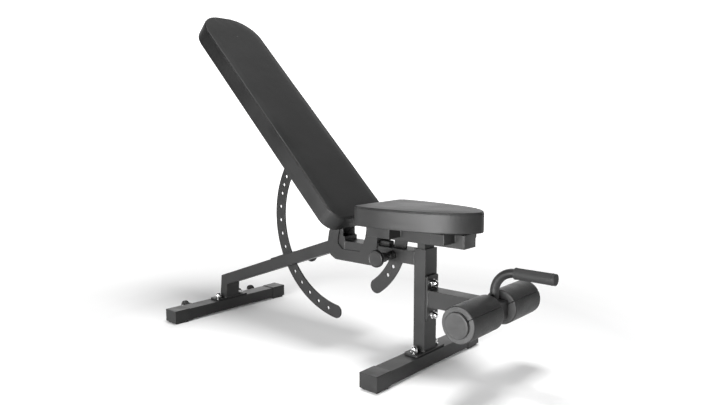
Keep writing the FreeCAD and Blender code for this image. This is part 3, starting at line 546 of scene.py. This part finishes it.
def inflate(name, grid, pinned, cap):
    """The grid after cloth simulation under pressure. Points move by at most cap."""
    points, numbers = welded(grid.reshape(-1, 3))
    faces = renumbered(grid_faces(*grid.shape[:2], close_columns=True), numbers)
    obj = mesh_object(name + "_cloth", points, faces, VINYL)
    if len(obj.data.vertices) != len(points):
        raise RuntimeError(name + ": the cloth mesh lost points")
    group = obj.vertex_groups.new(name="pinned")
    weights = np.zeros(len(points))
    np.maximum.at(weights, numbers, pinned.reshape(-1))
    for number, weight in enumerate(weights):
        if weight > 0:
            group.add([number], float(weight), "REPLACE")
    cloth = modifier(obj, "cloth", "CLOTH")
    for key, value in CLOTH.items():
        setattr(cloth.settings, key, value)
    cloth.settings.effector_weights.gravity = 0.0
    cloth.collision_settings.use_collision = False
    cloth.point_cache.frame_start = 1
    cloth.point_cache.frame_end = SIM_FRAMES
    scene = bpy.context.scene
    for step in range(1, SIM_FRAMES + 1):
        scene.frame_set(step)
    result = obj.evaluated_get(bpy.context.evaluated_depsgraph_get())
    moved = np.array([vertex.co for vertex in result.data.vertices])
    scene.frame_set(1)
    bpy.data.objects.remove(obj)
    shift = moved - points
    length = np.linalg.norm(shift, axis=1, keepdims=True)
    shift *= cap * np.tanh(length / cap) / np.maximum(length, 1e-9)
    puffed = (points + shift)[numbers].reshape(grid.shape)
    crown = numbers.reshape(grid.shape[:2])[-1]
    for number in np.unique(crown):
        shared = crown == number
        puffed[-1, shared, 2] = puffed[-2, shared, 2].mean()
    return puffed


def relief(pad, grid, places, seam, distance, along, seed):
    """How far the cover stands out in mm: the sewn seam's groove and puckers, pleats at the lower
    corners and slow unevenness. distance is from the seam and along is round it, both in mm."""
    seam_row = int(np.argmin(np.abs(places - seam)))
    wander = soft_noise(grid[seam_row], 30.0, seed) * 2.0
    pucker = 0.1 * np.sin(along * 2 * math.pi / 12.5 + wander * 2)
    pucker = pucker + 0.06 * np.sin(along * 2 * math.pi / 7.1)
    ridge = 0.2 * np.exp(-(((np.abs(distance) - 3.4) / 2.2) ** 2))
    groove = -1.0 * np.exp(-((distance / 0.9) ** 2)) + ridge
    gather = pucker[None, :] * np.exp(-((distance / 9.0) ** 2))
    curve = np.repeat(pad.curve, 2)
    tight = curve / max(curve.max(), 1e-9)
    low_side = np.clip(1 - (grid[..., 2] - pad.bottom) / (24 * MM), 0, 1)
    side = ((places >= FIRST_SIDE_ROW - 1) & (places < seam))[:, None]
    folds = 0.3 * np.sin(along * 2 * math.pi / 10.5 + wander * 3)
    pleats = folds[None, :] * tight[None, :] * low_side * side
    above = places[:, None] >= FIRST_SIDE_ROW
    slow = soft_noise(grid, 9.0, seed + 3).reshape(grid.shape[:2]) * 0.4
    quick_waves = soft_noise(grid, 33.0, seed + 5).reshape(grid.shape[:2]) * 0.12
    return groove + gather + pleats + slow * above + quick_waves * above


def make_pad(name, node, board, body, to_row, spine, seed, hem, cap=2.2):
    pad = Pad(node, board, to_row, spine, hem)
    grid, seam = pad.rings(0.3 * MM, 0.3 * MM, 2.2 * MM, 6.5 * MM)
    rows, columns = grid.shape[:2]
    pinned = np.zeros((rows, columns))
    pinned[: FIRST_SIDE_ROW + 1] = 1.0
    pinned[FIRST_SIDE_ROW + 1] = 0.6
    pinned[seam : seam + SHOULDER_ROWS + 1] = 0.35
    grid = inflate(name, grid, pinned, cap * MM)

    fine = np.array([-0.8, -0.55, -0.35, -0.2, -0.08, 0.08, 0.2, 0.35, 0.55, 0.8]) + seam
    places = np.sort(np.r_[np.arange(rows), np.arange(FIRST_SIDE_ROW + 1, seam) + 0.5, fine])
    grid = between(grid, places)
    grid = np.swapaxes(between(np.swapaxes(grid, 0, 1), np.arange(0, columns, 0.5), True), 0, 1)
    columns *= 2

    level = np.clip((places - seam - SHOULDER_ROWS - 1) / 3, 0, 1)[:, None, None]
    normals = grid_normals(grid) * (1 - level) + np.array([0, 0, 1]) * level
    steps = np.linalg.norm(np.diff(grid, axis=0), axis=2)
    travel = np.vstack([np.zeros((1, columns)), np.cumsum(steps, axis=0)])
    seam_row = int(np.argmin(np.abs(places - seam)))
    distance = (travel - travel[seam_row]) / MM
    seam_line = grid[seam_row]
    along = np.cumsum(np.linalg.norm(np.roll(seam_line, -1, axis=0) - seam_line, axis=1)) / MM
    offset = relief(pad, grid, places, seam, distance, along, seed) * MM
    shaped = grid + normals * offset[..., None]

    points, numbers = welded(shaped.reshape(-1, 3), 4e-5)
    faces = renumbered(grid_faces(len(places), columns, close_columns=True), numbers)
    points = np.array([to_row @ Vector(point) for point in points])
    cushion = mesh_object(name, points, faces, VINYL)
    modifier(cushion, "refine", "SUBSURF", levels=1, render_levels=1)
    placed(cushion, body, [node])

    stitch_row = int(np.argmin(np.abs(distance.mean(axis=1) - 4.4)))
    run = shaped[stitch_row] + normals[stitch_row] * 0.15 * MM
    stitches(name.replace("cushion", "stitches"), run, normals[stitch_row], to_row, body)
    return pad


def stitches(name, run, normals, to_row, body, pitch=4.6, length=3.4, radius=0.42):
    """A row of short raised stitches along a closed run."""
    steps = np.linalg.norm(np.roll(run, -1, axis=0) - run, axis=1)
    travel = np.r_[0, np.cumsum(steps)]
    loop = np.vstack([run, run[:1]])
    facing = np.vstack([normals, normals[:1]])
    count = int(travel[-1] / (pitch * MM))
    lobes = [(-0.5, 0.25), (-0.4, 0.8), (-0.15, 1.0), (0.15, 1.0), (0.4, 0.8), (0.5, 0.25)]
    points, faces = [], []
    for number in range(count):
        middle = (number + 0.5) * travel[-1] / count
        start, end = (sampled(loop, travel, middle + way * length * MM / 2) for way in (-1, 1))
        up = sampled(facing, travel, middle)
        along = end - start
        side = np.cross(up, along)
        side /= np.linalg.norm(side)
        up /= np.linalg.norm(up)
        base = len(points)
        for share, swell in lobes:
            centre = (start + end) / 2 + along * share + up * (0.3 - 1.6 * share * share) * MM
            for step in range(6):
                angle = math.pi / 3 * step
                across = side * math.cos(angle) + up * math.sin(angle) * 0.8
                points.append(to_row @ Vector(centre + across * radius * swell * MM))
        faces += tube_faces(base, 6, 6)
    return placed(mesh_object(name, points, faces, THREAD), body)


def dust_cover(name, pad, board, body, inset=17.0):
    """The cloth stapled under the board, with its staples."""
    low = pad.board_bottom + 0.15 * MM
    high = pad.bottom + 0.1 * MM
    edge = pad.rim(inset * MM, low)
    spine = np.column_stack([pad.middle, np.full(len(edge), low)])
    rows = [spine * (1 - share) + edge * share for share in (0.0, 0.35, 0.7, 0.92, 1.0)]
    rise = np.array([0.0, 0.0, high - low])
    rows += [row + rise for row in rows[::-1]]
    wavy = np.array(rows)
    waves = soft_noise(wavy, 25.0, 7).reshape(wavy.shape[:2]) * 0.06 * MM
    wavy[:4, :, 2] += np.abs(waves[:4])
    points, numbers = welded(wavy.reshape(-1, 3))
    faces = renumbered(grid_faces(len(rows), len(edge), close_columns=True), numbers)
    points = [pad.to_row @ Vector(point) for point in points]
    cover = mesh_object(name, points, faces, LINING)
    placed(cover, body, [board])

    line = pad.rim((inset + 5.0) * MM, low)
    count = int(np.linalg.norm(np.roll(line, -1, axis=0) - line, axis=1).sum() / 0.034)
    points, faces = [], []
    for number in range(count):
        place = number * len(line) / count
        centre = between(line, [place], True)[0]
        ahead = between(line, [place + 0.5], True)[0]
        along = (ahead - centre) / np.linalg.norm(ahead - centre)
        lean = 0.35 * math.sin(number * 2.4)
        side = np.array([-along[1], along[0], 0.0])
        crown = along * math.cos(lean) + side * math.sin(lean)
        across = side * math.cos(lean) - along * math.sin(lean)
        base = len(points)
        for share, drop in ((-1.0, 0.1), (-0.85, 0.5), (0.0, 0.62), (0.85, 0.5), (1.0, 0.1)):
            middle = centre + crown * share * 5.0 * MM - np.array([0, 0, drop * MM])
            for step in range(6):
                angle = math.pi / 3 * step
                ring = across * math.cos(angle) * 0.5 + np.array([0, 0, 0.32 * math.sin(angle)])
                points.append(pad.to_row @ Vector(middle + ring * MM))
        faces += tube_faces(base, 5, 6)
    placed(mesh_object(name.replace("cover", "staples"), points, faces, STEEL), body)


# ---- Leg rollers ----

ROLLER_SEAM = math.radians(30)


def make_roller(side):
    """A foam sleeve with a lengthwise joint line, a little uneven as cut foam is."""
    name = "left" if side > 0 else "right"
    node = "roller_foam_" + name
    centre, radius, near, far = round_box(node)
    bore = 17.3
    corner = 5.0
    profile = [(bore, near + 1.0), (bore + 2.0, near + 0.2)]
    profile += [(radius - corner - 8.0, near), (radius - corner, near)]
    for step in range(1, 8):
        angle = math.pi / 2 * step / 7
        profile.append((radius - corner * (1 - math.sin(angle)), near + corner * (1 - math.cos(angle))))
    count = 22
    for step in range(1, count):
        profile.append((radius, near + corner + (far - near - 2 * corner) * step / count))
    for step in range(8):
        angle = math.pi / 2 * step / 7
        profile.append((radius - corner * (1 - math.cos(angle)), far - corner * (1 - math.sin(angle))))
    profile += [(radius - corner - 4.0, far), (bore + 18.0, far - 0.2)]
    profile += [(bore + 2.0, far - 0.4), (bore, far - 1.2)]
    angles = list(np.linspace(0, 2 * math.pi, 96, endpoint=False) + math.pi / 96)
    fine = np.array([-0.05, -0.032, -0.018, -0.008, 0.0, 0.008, 0.018, 0.032, 0.05]) + ROLLER_SEAM
    angles = [angle for angle in angles if abs(angle - ROLLER_SEAM) > 0.07]
    angles = sorted(angles + list(fine))
    points = []
    for distance_r, distance_y in profile:
        for angle in angles:
            gap = abs(angle - ROLLER_SEAM) * distance_r
            groove = 2.4 * math.exp(-((gap / 0.9) ** 2)) if distance_r > bore + 1 else 0.0
            direction = Vector((math.cos(angle), 0, math.sin(angle)))
            sample = direction * distance_r * MM + Vector((0, side * distance_y * MM, 0))
            uneven = 0.45 * noise.noise(sample * 32) + 0.15 * noise.noise(sample * 110)
            share = min(1.0, (distance_r - bore) / 8.0)
            reach = distance_r + (uneven - 0.4) * share - groove
            end = 1.0 if distance_y > (near + far) / 2 else -1.0
            dip = groove * 0.8 + 0.25 if distance_r < radius - corner + 4 and distance_r > bore + 1 else 0.0
            points.append((
                centre[0] + direction.x * reach * MM,
                side * (distance_y - end * dip) * MM,
                centre[1] + direction.z * reach * MM,
            ))
    faces = grid_faces(len(profile), len(angles), close_rows=True, close_columns=True)
    sleeve = mesh_object("roller_sleeve_" + name, points, faces, FOAM)
    sleeve.data.materials.append(FOAM_CUT)
    for face in sleeve.data.polygons:
        if abs(face.normal.y) > 0.75 and (Vector(face.center).xz - Vector(centre)).length > 0.02:
            face.material_index = 1
    modifier(sleeve, "refine", "SUBSURF", levels=1, render_levels=1)
    placed(sleeve, name + "_roller", [node])

    core = "roller_core_" + name
    face = round_box(core)[3]
    disc = [
        (0.0, face - 0.5), (24.0, face - 0.45), (30.0, face - 0.1), (33.8, face - 0.3),
        (35.3, face - 1.6), (35.5, face - 5.0), (35.5, far + 0.5), (33.0, far + 0.2),
        (18.0, far - 0.6), (16.9, far - 2.0), (16.9, near), (13.2, near), (12.6, near + 0.6),
        (12.6, far - 1.0), (0.0, far - 1.0),
    ]
    placed(turned("roller_hub_" + name, rounded(disc, 0.9, 3), centre, side, GREY_PLASTIC, 96),
           name + "_roller", [core])


# ---- Pull pins ----


def thread_profile(low, high, radius, pitch=1.5, depth=0.75):
    """The crests and roots of a thread, drawn as rings, from |y| low to high in mm."""
    count = int((high - low) / pitch)
    profile = []
    for turn in range(count):
        start = low + turn * pitch
        profile += [(radius - depth, start), (radius, start + pitch * 0.35), (radius, start + pitch * 0.6)]
    profile.append((radius - depth, low + count * pitch))
    return profile


def make_pull_pin(which, body, side):
    """A threaded barrel with its lock nut, and a mushroom knob with a dished face."""
    housing = which + "_pin_housing"
    centre = round_box(housing)[0]
    profile = [(5.3, 30.1), (12.0, 30.1), (12.0, 38.0)] + thread_profile(38.5, 51.5, 12.2)
    profile += [(11.0, 53.0), (10.2, 54.0), (8.0, 54.0), (7.2, 53.2), (5.3, 52.4)]
    barrel = turned(which + "_barrel", profile, centre, side, PLASTIC, 72)
    placed(barrel, "root", [housing])

    def flats(angle, _):
        corner = math.pi / 3
        local = (angle + corner / 2) % corner - corner / 2
        return 12.4 / math.cos(local) - 13.0

    nut = [(12.3, 30.1), (12.6, 30.1), (13.0, 30.9), (13.0, 37.0), (12.6, 37.9), (12.3, 37.9)]
    placed(turned(which + "_lock_nut", nut, centre, side, PLASTIC, 96, flats), "root")

    knob = which + "_pin_knob"
    _, _, back, face = round_box(knob)
    profile = [
        (5.2, back + 2.0), (9.5, back), (12.5, back + 1.2), (12.6, back + 9.0), (13.6, back + 12.0),
        (12.9, back + 13.4), (13.2, back + 16.0), (15.5, face - 24.0), (20.0, face - 17.5),
        (24.4, face - 13.6), (26.0, face - 10.5), (26.0, face - 3.2), (25.0, face - 0.9), (23.4, face),
        (22.2, face - 0.5), (21.6, face - 1.1), (12.0, face - 1.0), (0.0, face - 0.8),
    ]
    profile = [(0.0, back + 2.0)] + rounded(profile, 1.4, 3)

    def grips(angle, distance):
        if distance < face - 14.0 or distance > face - 2.5:
            return 0.0
        return -0.35 * max(0.0, math.cos(angle * 30)) ** 3

    piece = turned(which + "_knob", profile, centre, side, PLASTIC, 180, grips)
    placed(piece, body, [knob])


# ---- Wheels ----


def make_wheel(side):
    """A small hard wheel with recessed faces and a moulding line round its tread."""
    name = "left" if side > 0 else "right"
    node = "wheel_" + name
    centre, radius, near, far = round_box(node)
    middle = (near + far) / 2
    profile = [
        (4.1, near), (8.0, near), (8.4, near + 1.2), (14.6, near + 1.2), (15.2, near + 0.2),
        (radius - 1.8, near + 0.1), (radius - 0.4, near + 1.5), (radius, near + 3.5),
        (radius, middle - 0.9), (radius - 0.7, middle - 0.6), (radius - 0.7, middle + 0.6),
        (radius, middle + 0.9), (radius, far - 3.5), (radius - 0.4, far - 1.5), (radius - 1.8, far - 0.1),
        (15.2, far - 0.2), (14.6, far - 2.0), (8.6, far - 2.0), (8.0, far - 0.1), (4.1, far),
    ]
    profile = rounded(profile + [profile[0]], 0.5, 2)[:-1]
    placed(turned("transport_wheel_" + name, profile, centre, side, WHEEL, 72),
           name + "_wheel", [node])


# ---- Weld beads ----


def bead(name, body, runs, radius=1.9):
    """Rippled weld beads along runs, each a list of points in metres and whether it is closed."""
    points, faces = [], []
    for run, closed in runs:
        line = np.array([tuple(point) for point in (list(run) + [run[0]] if closed else run)])
        steps = np.r_[0, np.cumsum(np.linalg.norm(np.diff(line, axis=0), axis=1))]
        count = max(4, int(steps[-1] / (0.75 * MM)))
        even = np.linspace(0, steps[-1], count + (0 if closed else 1), endpoint=not closed)
        path = sampled(line, steps, even)
        if closed:
            tangent = np.roll(path, -1, axis=0) - np.roll(path, 1, axis=0)
        else:
            tangent = np.gradient(path, axis=0)
        tangent /= np.linalg.norm(tangent, axis=1, keepdims=True)
        normal = np.cross(line[1] - line[0], line[-1] - line[0] if not closed else line[2] - line[0])
        if np.linalg.norm(normal) < 1e-12:
            normal = np.cross(tangent[0], [0.3, 0.5, 0.81])
        normal /= np.linalg.norm(normal)
        base = len(points)
        for number, (place, direction) in enumerate(zip(path, tangent)):
            side = np.cross(direction, normal)
            side /= np.linalg.norm(side)
            up = np.cross(side, direction)
            ripple = abs(math.sin(math.pi * even[number] / MM / 2.6))
            size = radius * (0.84 + 0.2 * ripple) * (1 + 0.1 * noise.noise(Vector(place) * 180))
            if not closed:
                ends = min(even[number], steps[-1] - even[number]) / (2.0 * MM)
                size *= math.sqrt(max(0.08, min(1.0, ends)))
            for step in range(8):
                angle = math.pi / 4 * step
                points.append(place + (side * math.cos(angle) + up * math.sin(angle)) * size * MM)
        faces += tube_faces(base, len(path), 8, closed)
    return placed(mesh_object(name, points, faces, WELD), body)


def loop_in_plane(axis, at, first, second, cut=2.0):
    """A closed rectangle with cut corners, at a fixed coordinate of one axis."""
    (a, b), (c, d) = first, second
    cut *= MM
    flat = [
        (a + cut, c), (b - cut, c), (b, c + cut), (b, d - cut),
        (b - cut, d), (a + cut, d), (a, d - cut), (a, c + cut),
    ]
    points = []
    for u, v in flat:
        coordinates = [u, v]
        coordinates.insert(axis, at)
        points.append(Vector(coordinates))
    return points, True


def face_span(node, axis, at, tolerance=2e-4):
    """Bounds of a node's vertices that lie on a plane across one axis."""
    points = np.array(corners(node))
    points = points[np.abs(points[:, axis] - at) < tolerance]
    others = [index for index in range(3) if index != axis]
    return [(points[:, index].min(), points[:, index].max()) for index in others]


def end_loop(node, axis, end):
    """A loop round a node's lowest (0) or highest (1) face across one axis."""
    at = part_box(node)[end][axis]
    return loop_in_plane(axis, at, *face_span(node, axis, at))


def frame_weld_runs():
    """Beads round the ends of the frame's tubes and the foot of the handle."""
    runs = [end_loop("front_upright", 2, 0), end_loop("rear_stub", 2, 0)]
    runs += [end_loop("horizontal_beam", 0, 0), end_loop("leg_tube", 0, 0)]
    runs += [end_loop("horizontal_beam", 0, 1), end_loop("sloped_beam", 0, 1)]
    bar_low, bar_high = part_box("handle_bar")
    radius = bar_high.y
    foot = Vector((bar_low.x + radius, 0, bar_low.z))
    turn = np.linspace(0, 2 * math.pi, 25)[:-1]
    ring = [foot + Vector((math.cos(angle), math.sin(angle), 0)) * radius for angle in turn]
    runs.append((ring, True))
    return runs


def backrest_weld_runs():
    """Beads between the tube, its cross bars and its curved plate, found with the backrest flat."""
    to_flat = RAISE.inverted()
    tube = np.array(corners("back_tube", to_flat))
    low, high = tube.min(axis=0), tube.max(axis=0)
    bars = corners("back_cross_bars", to_flat)
    edges = sorted({round(point.x, 3) for point in bars if abs(abs(point.y) - 0.09) < 1e-4})
    runs = []
    for start, end in zip(edges[::2], edges[1::2]):
        for y in (low[1], high[1]):
            runs.append(([RAISE @ Vector((x, y, high[2])) for x in (start + 0.003, end - 0.003)], False))
    arc = np.array(corners("back_arc", to_flat))
    joint = arc[np.abs(arc[:, 2] - low[2]) < 3e-4]
    for y in (joint[:, 1].min(), joint[:, 1].max()):
        ends = (joint[:, 0].min() + 0.002, joint[:, 0].max() - 0.002)
        runs.append(([RAISE @ Vector((x, y, low[2])) for x in ends], False))
    return runs


def seat_weld_runs():
    """Beads between the tube, its curved plate, the hinge plates' arms and the cross members."""
    runs = []
    seat_low, seat_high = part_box("seat_tube")
    joint_x, joint_y = face_span("seat_arc", 2, seat_low.z)
    for y in joint_y:
        ends = (joint_x[0] + 0.002, joint_x[1] - 0.002)
        runs.append(([Vector((x, y, seat_low.z)) for x in ends], False))
    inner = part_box("seat_hinge_plate_left")[0].y
    plate = corners("seat_hinge_plate_left")
    arm = [point for point in plate if point.x > 0.06 and point.z > seat_low.z]
    arm_top = max(point.z for point in arm)
    arm_start, arm_end = min(point.x for point in arm), max(point.x for point in arm)
    for side in (-1, 1):
        y = side * (inner + 0.0006)
        outline = [(arm_start + 0.001, arm_top), (arm_end, arm_top), (arm_end + 0.0022, seat_low.z + 0.003)]
        runs.append(([Vector((x, y, z)) for x, z in outline], False))
        for node in ("seat_front_cross_member", "seat_rear_cross_member"):
            member_low, member_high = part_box(node)
            for x in (member_low.x, member_high.x):
                if arm_end + 0.006 < x < seat_high.x:
                    ends = (member_low.z + 0.001, seat_high.z - 0.001)
                    runs.append(([Vector((x, side * seat_high.y, z)) for z in ends], False))
    return runs


# ---- Small fittings ----


def block(name, material, origin, along, rows, hollow=False):
    """A block of stacked rounded rectangles, each given in mm as its two ends along the block, half
    its width, its corner radius and its height. A hollow one closes its last row to its first."""
    up = Vector((-along.z, 0, along.x))
    points = []
    for low, high, half, corner, height in rows:
        for step in range(96):
            angle = 2 * math.pi * (step + 0.5) / 96
            x = math.copysign(max((high - low) / 2 - corner, 0), math.cos(angle)) + corner * math.cos(angle)
            y = math.copysign(max(half - corner, 0), math.sin(angle)) + corner * math.sin(angle)
            points.append(origin + (along * ((low + high) / 2 + x) + up * height + Vector((0, y, 0))) * MM)
    unique, numbers = welded(points)
    faces = grid_faces(len(rows), 96, close_rows=hollow, close_columns=True)
    return mesh_object(name, unique, renumbered(faces, numbers), material)


def make_slot_plate():
    """The strengthening plate on top of the sloped beam, around the slot for the back arc."""
    across = [point for point in corners("sloped_beam") if abs(point.y) < 0.0048]
    start = min(across, key=lambda point: point.x)
    end = max((point for point in across if point.x > start.x + 0.03), key=lambda point: point.z)
    along = Vector((end.x - start.x, 0, end.z - start.z))
    length = along.length / MM
    rows = [(-46, length + 14, 26, 5, 0.0), (-46, length + 14, 26, 5, 2.4)]
    rows += [(-45.7, length + 13.7, 25.7, 5, 2.9), (-45.1, length + 13.1, 25.1, 5, 3.1)]
    rows += [(-3.5, length + 3.5, 5.2, 5.1, 3.1)]
    rows += [(-3, length + 3, 4.7, 4.6, height) for height in (2.7, 0.0)]
    origin = Vector((start.x, 0, start.z))
    placed(block("slot_plate", COAT, origin, along.normalized(), rows, True), "root")


def make_beam_bumper():
    """The rubber block on the horizontal beam, under the rear of the seat tube."""
    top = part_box("horizontal_beam")[1].z
    rows = [(0, 42, 0, 0, 0.0), (0, 42, 13, 3, 0.0), (0, 42, 13, 3, 12.0), (0.6, 41.4, 12.4, 3, 13.6)]
    rows += [(2.0, 40.0, 11.0, 3, 14.6), (4.0, 38.0, 9.0, 3, 14.9), (10, 32, 0, 0, 15.0)]
    bumper = block("beam_bumper", RUBBER, Vector((0.139, 0, top)), Vector((1, 0, 0)), rows)
    placed(bumper, "root")


def make_grip_rings():
    """Raised bands at both ends of the handle's rubber grip."""
    low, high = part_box("handle_grip")
    height = (low.z + high.z) / 2
    radius = (high.z - low.z) / 2
    points, faces = [], []
    for start, end in ((low.x + 0.0005, low.x + 0.0055), (high.x - 0.012, high.x - 0.009)):
        base = len(points)
        profile = [(start, 0.1), (start + 0.0006, 0.5), (end - 0.0006, 0.5), (end, 0.1)]
        profile += [(end, -0.8), (start, -0.8)]
        for x, proud in profile:
            for step in range(64):
                angle = 2 * math.pi * step / 64
                reach = radius + proud * MM
                points.append((x, reach * math.cos(angle), height + reach * math.sin(angle)))
        faces += tube_faces(base, len(profile), 64, True)
    placed(mesh_object("grip_bands", points, faces, RUBBER), "root")


# ---- Studio ----

# A pale backdrop in one direction and a dim room in the others. Each light has its name, place,
# target, width and height in metres, spread in degrees, and power in watts.
BACKDROP = (-0.65, 0.76, 0.0)
ROOM_LIGHT = 0.12
BACKDROP_LIGHT = 1.6
LIGHTS = [
    ("overhead", (0.25, -0.1, 3.2), (0.25, -0.1, 0.0), (1.0, 0.8), 180, 70.0),
    ("side", (0.6, -2.3, 0.24), (0.25, 0.0, 0.15), (2.6, 0.9), 75, 58.0),
]
# The camera's place in metres, its turn from +Y and its tilt down in radians, and its lens in mm.
CAMERA_PLACE = (1.3733, -1.5389, 0.7125)
CAMERA_TURN = 0.7095
CAMERA_TILT = 0.1167
CAMERA_LENS = 31.98
FLOOR_RADIUS = 6.0


def area_light(name, place, target, size, spread, power):
    data = bpy.data.lights.new(name, "AREA")
    data.energy = power
    data.shape = "RECTANGLE"
    data.size, data.size_y = size
    data.spread = math.radians(spread)
    obj = bpy.data.objects.new(name, data)
    obj.location = place
    aim = Vector(target) - Vector(place)
    obj.rotation_euler = aim.to_track_quat("-Z", "Y").to_euler()
    bpy.context.scene.collection.objects.link(obj)


def make_world():
    """White in the backdrop's direction, fading to a dim grey room elsewhere."""
    world = bpy.data.worlds.new("studio")
    world.use_nodes = True
    tree = world.node_tree
    background = set_inputs(tree.nodes["Background"], Color=grey(1.0))
    facing = add_node(tree, "VectorMath")
    facing.operation = "DOT_PRODUCT"
    facing.inputs[1].default_value = BACKDROP
    tree.links.new(add_node(tree, "TexCoord").outputs["Generated"], facing.inputs[0])
    fade = add_node(tree, "MapRange", From_Min=0.5, From_Max=0.8, To_Min=ROOM_LIGHT, To_Max=BACKDROP_LIGHT)
    tree.links.new(facing.outputs["Value"], fade.inputs["Value"])
    tree.links.new(fade.outputs["Result"], background.inputs["Strength"])
    bpy.context.scene.world = world


def make_floor():
    """A pale disc that glows more the further out it is, so that it ends in white."""
    pale = Finish("studio_floor", 0.9, 0.9, specular=0.1)
    pale.rough(pale.noise(3.0), 0.85, 0.95)
    set_inputs(pale.shader, Emission_Color=grey(1.0))
    away = add_node(pale.tree, "VectorMath")
    away.operation = "LENGTH"
    pale.link(pale.place, away.inputs[0])
    glow = pale.span(away.outputs["Value"], 0.0, 1.1, 0.95, 2.9)
    pale.link(glow, pale.shader.inputs["Emission Strength"])
    points = [(0.0, 0.0, 0.0)]
    for angle in np.linspace(0, 2 * math.pi, 97)[:-1]:
        points.append((FLOOR_RADIUS * math.cos(angle), FLOOR_RADIUS * math.sin(angle), 0.0))
    faces = [(0, 1 + step, 1 + (step + 1) % 96) for step in range(96)]
    mesh_object("studio_floor", points, faces, pale.material)


def make_camera():
    flat = math.cos(CAMERA_TILT)
    aim = Vector((-math.sin(CAMERA_TURN) * flat, math.cos(CAMERA_TURN) * flat, -math.sin(CAMERA_TILT)))
    data = bpy.data.cameras.new("camera")
    data.lens = CAMERA_LENS
    data.sensor_width = 36.0
    data.clip_start, data.clip_end = 0.01, 100.0
    camera = bpy.data.objects.new("camera", data)
    camera.location = CAMERA_PLACE
    camera.rotation_mode = "QUATERNION"
    camera.rotation_quaternion = aim.to_track_quat("-Z", "Y")
    bpy.context.scene.collection.objects.link(camera)
    bpy.context.scene.camera = camera


# ---- Build ----

for node_name, node_object in NODES.items():
    dress(node_name, node_object)
back = make_pad("back_cushion", "back_pad", "back_board", "backrest", RAISE, (0.112, 0.1), 1, 3.0)
dust_cover("back_dust_cover", back, "back_board", "backrest")
seat = make_pad("seat_cushion", "seat_pad", "seat_board", "seat", LEVEL, (0.1, 0.1), 2, 0.0)
dust_cover("seat_dust_cover", seat, "seat_board", "seat")
for side in (1, -1):
    make_roller(side)
    make_wheel(side)
make_pull_pin("seat", "seat_pin", -1)
make_pull_pin("back", "back_pin", 1)
bead("frame_welds", "root", frame_weld_runs())
bead("backrest_welds", "backrest", backrest_weld_runs())
bead("seat_welds", "seat", seat_weld_runs(), 1.7)
make_slot_plate()
make_beam_bumper()
make_grip_rings()

bpy.context.scene.view_settings.view_transform = "Standard"
make_world()
make_floor()
for light in LIGHTS:
    area_light(*light)
make_camera()
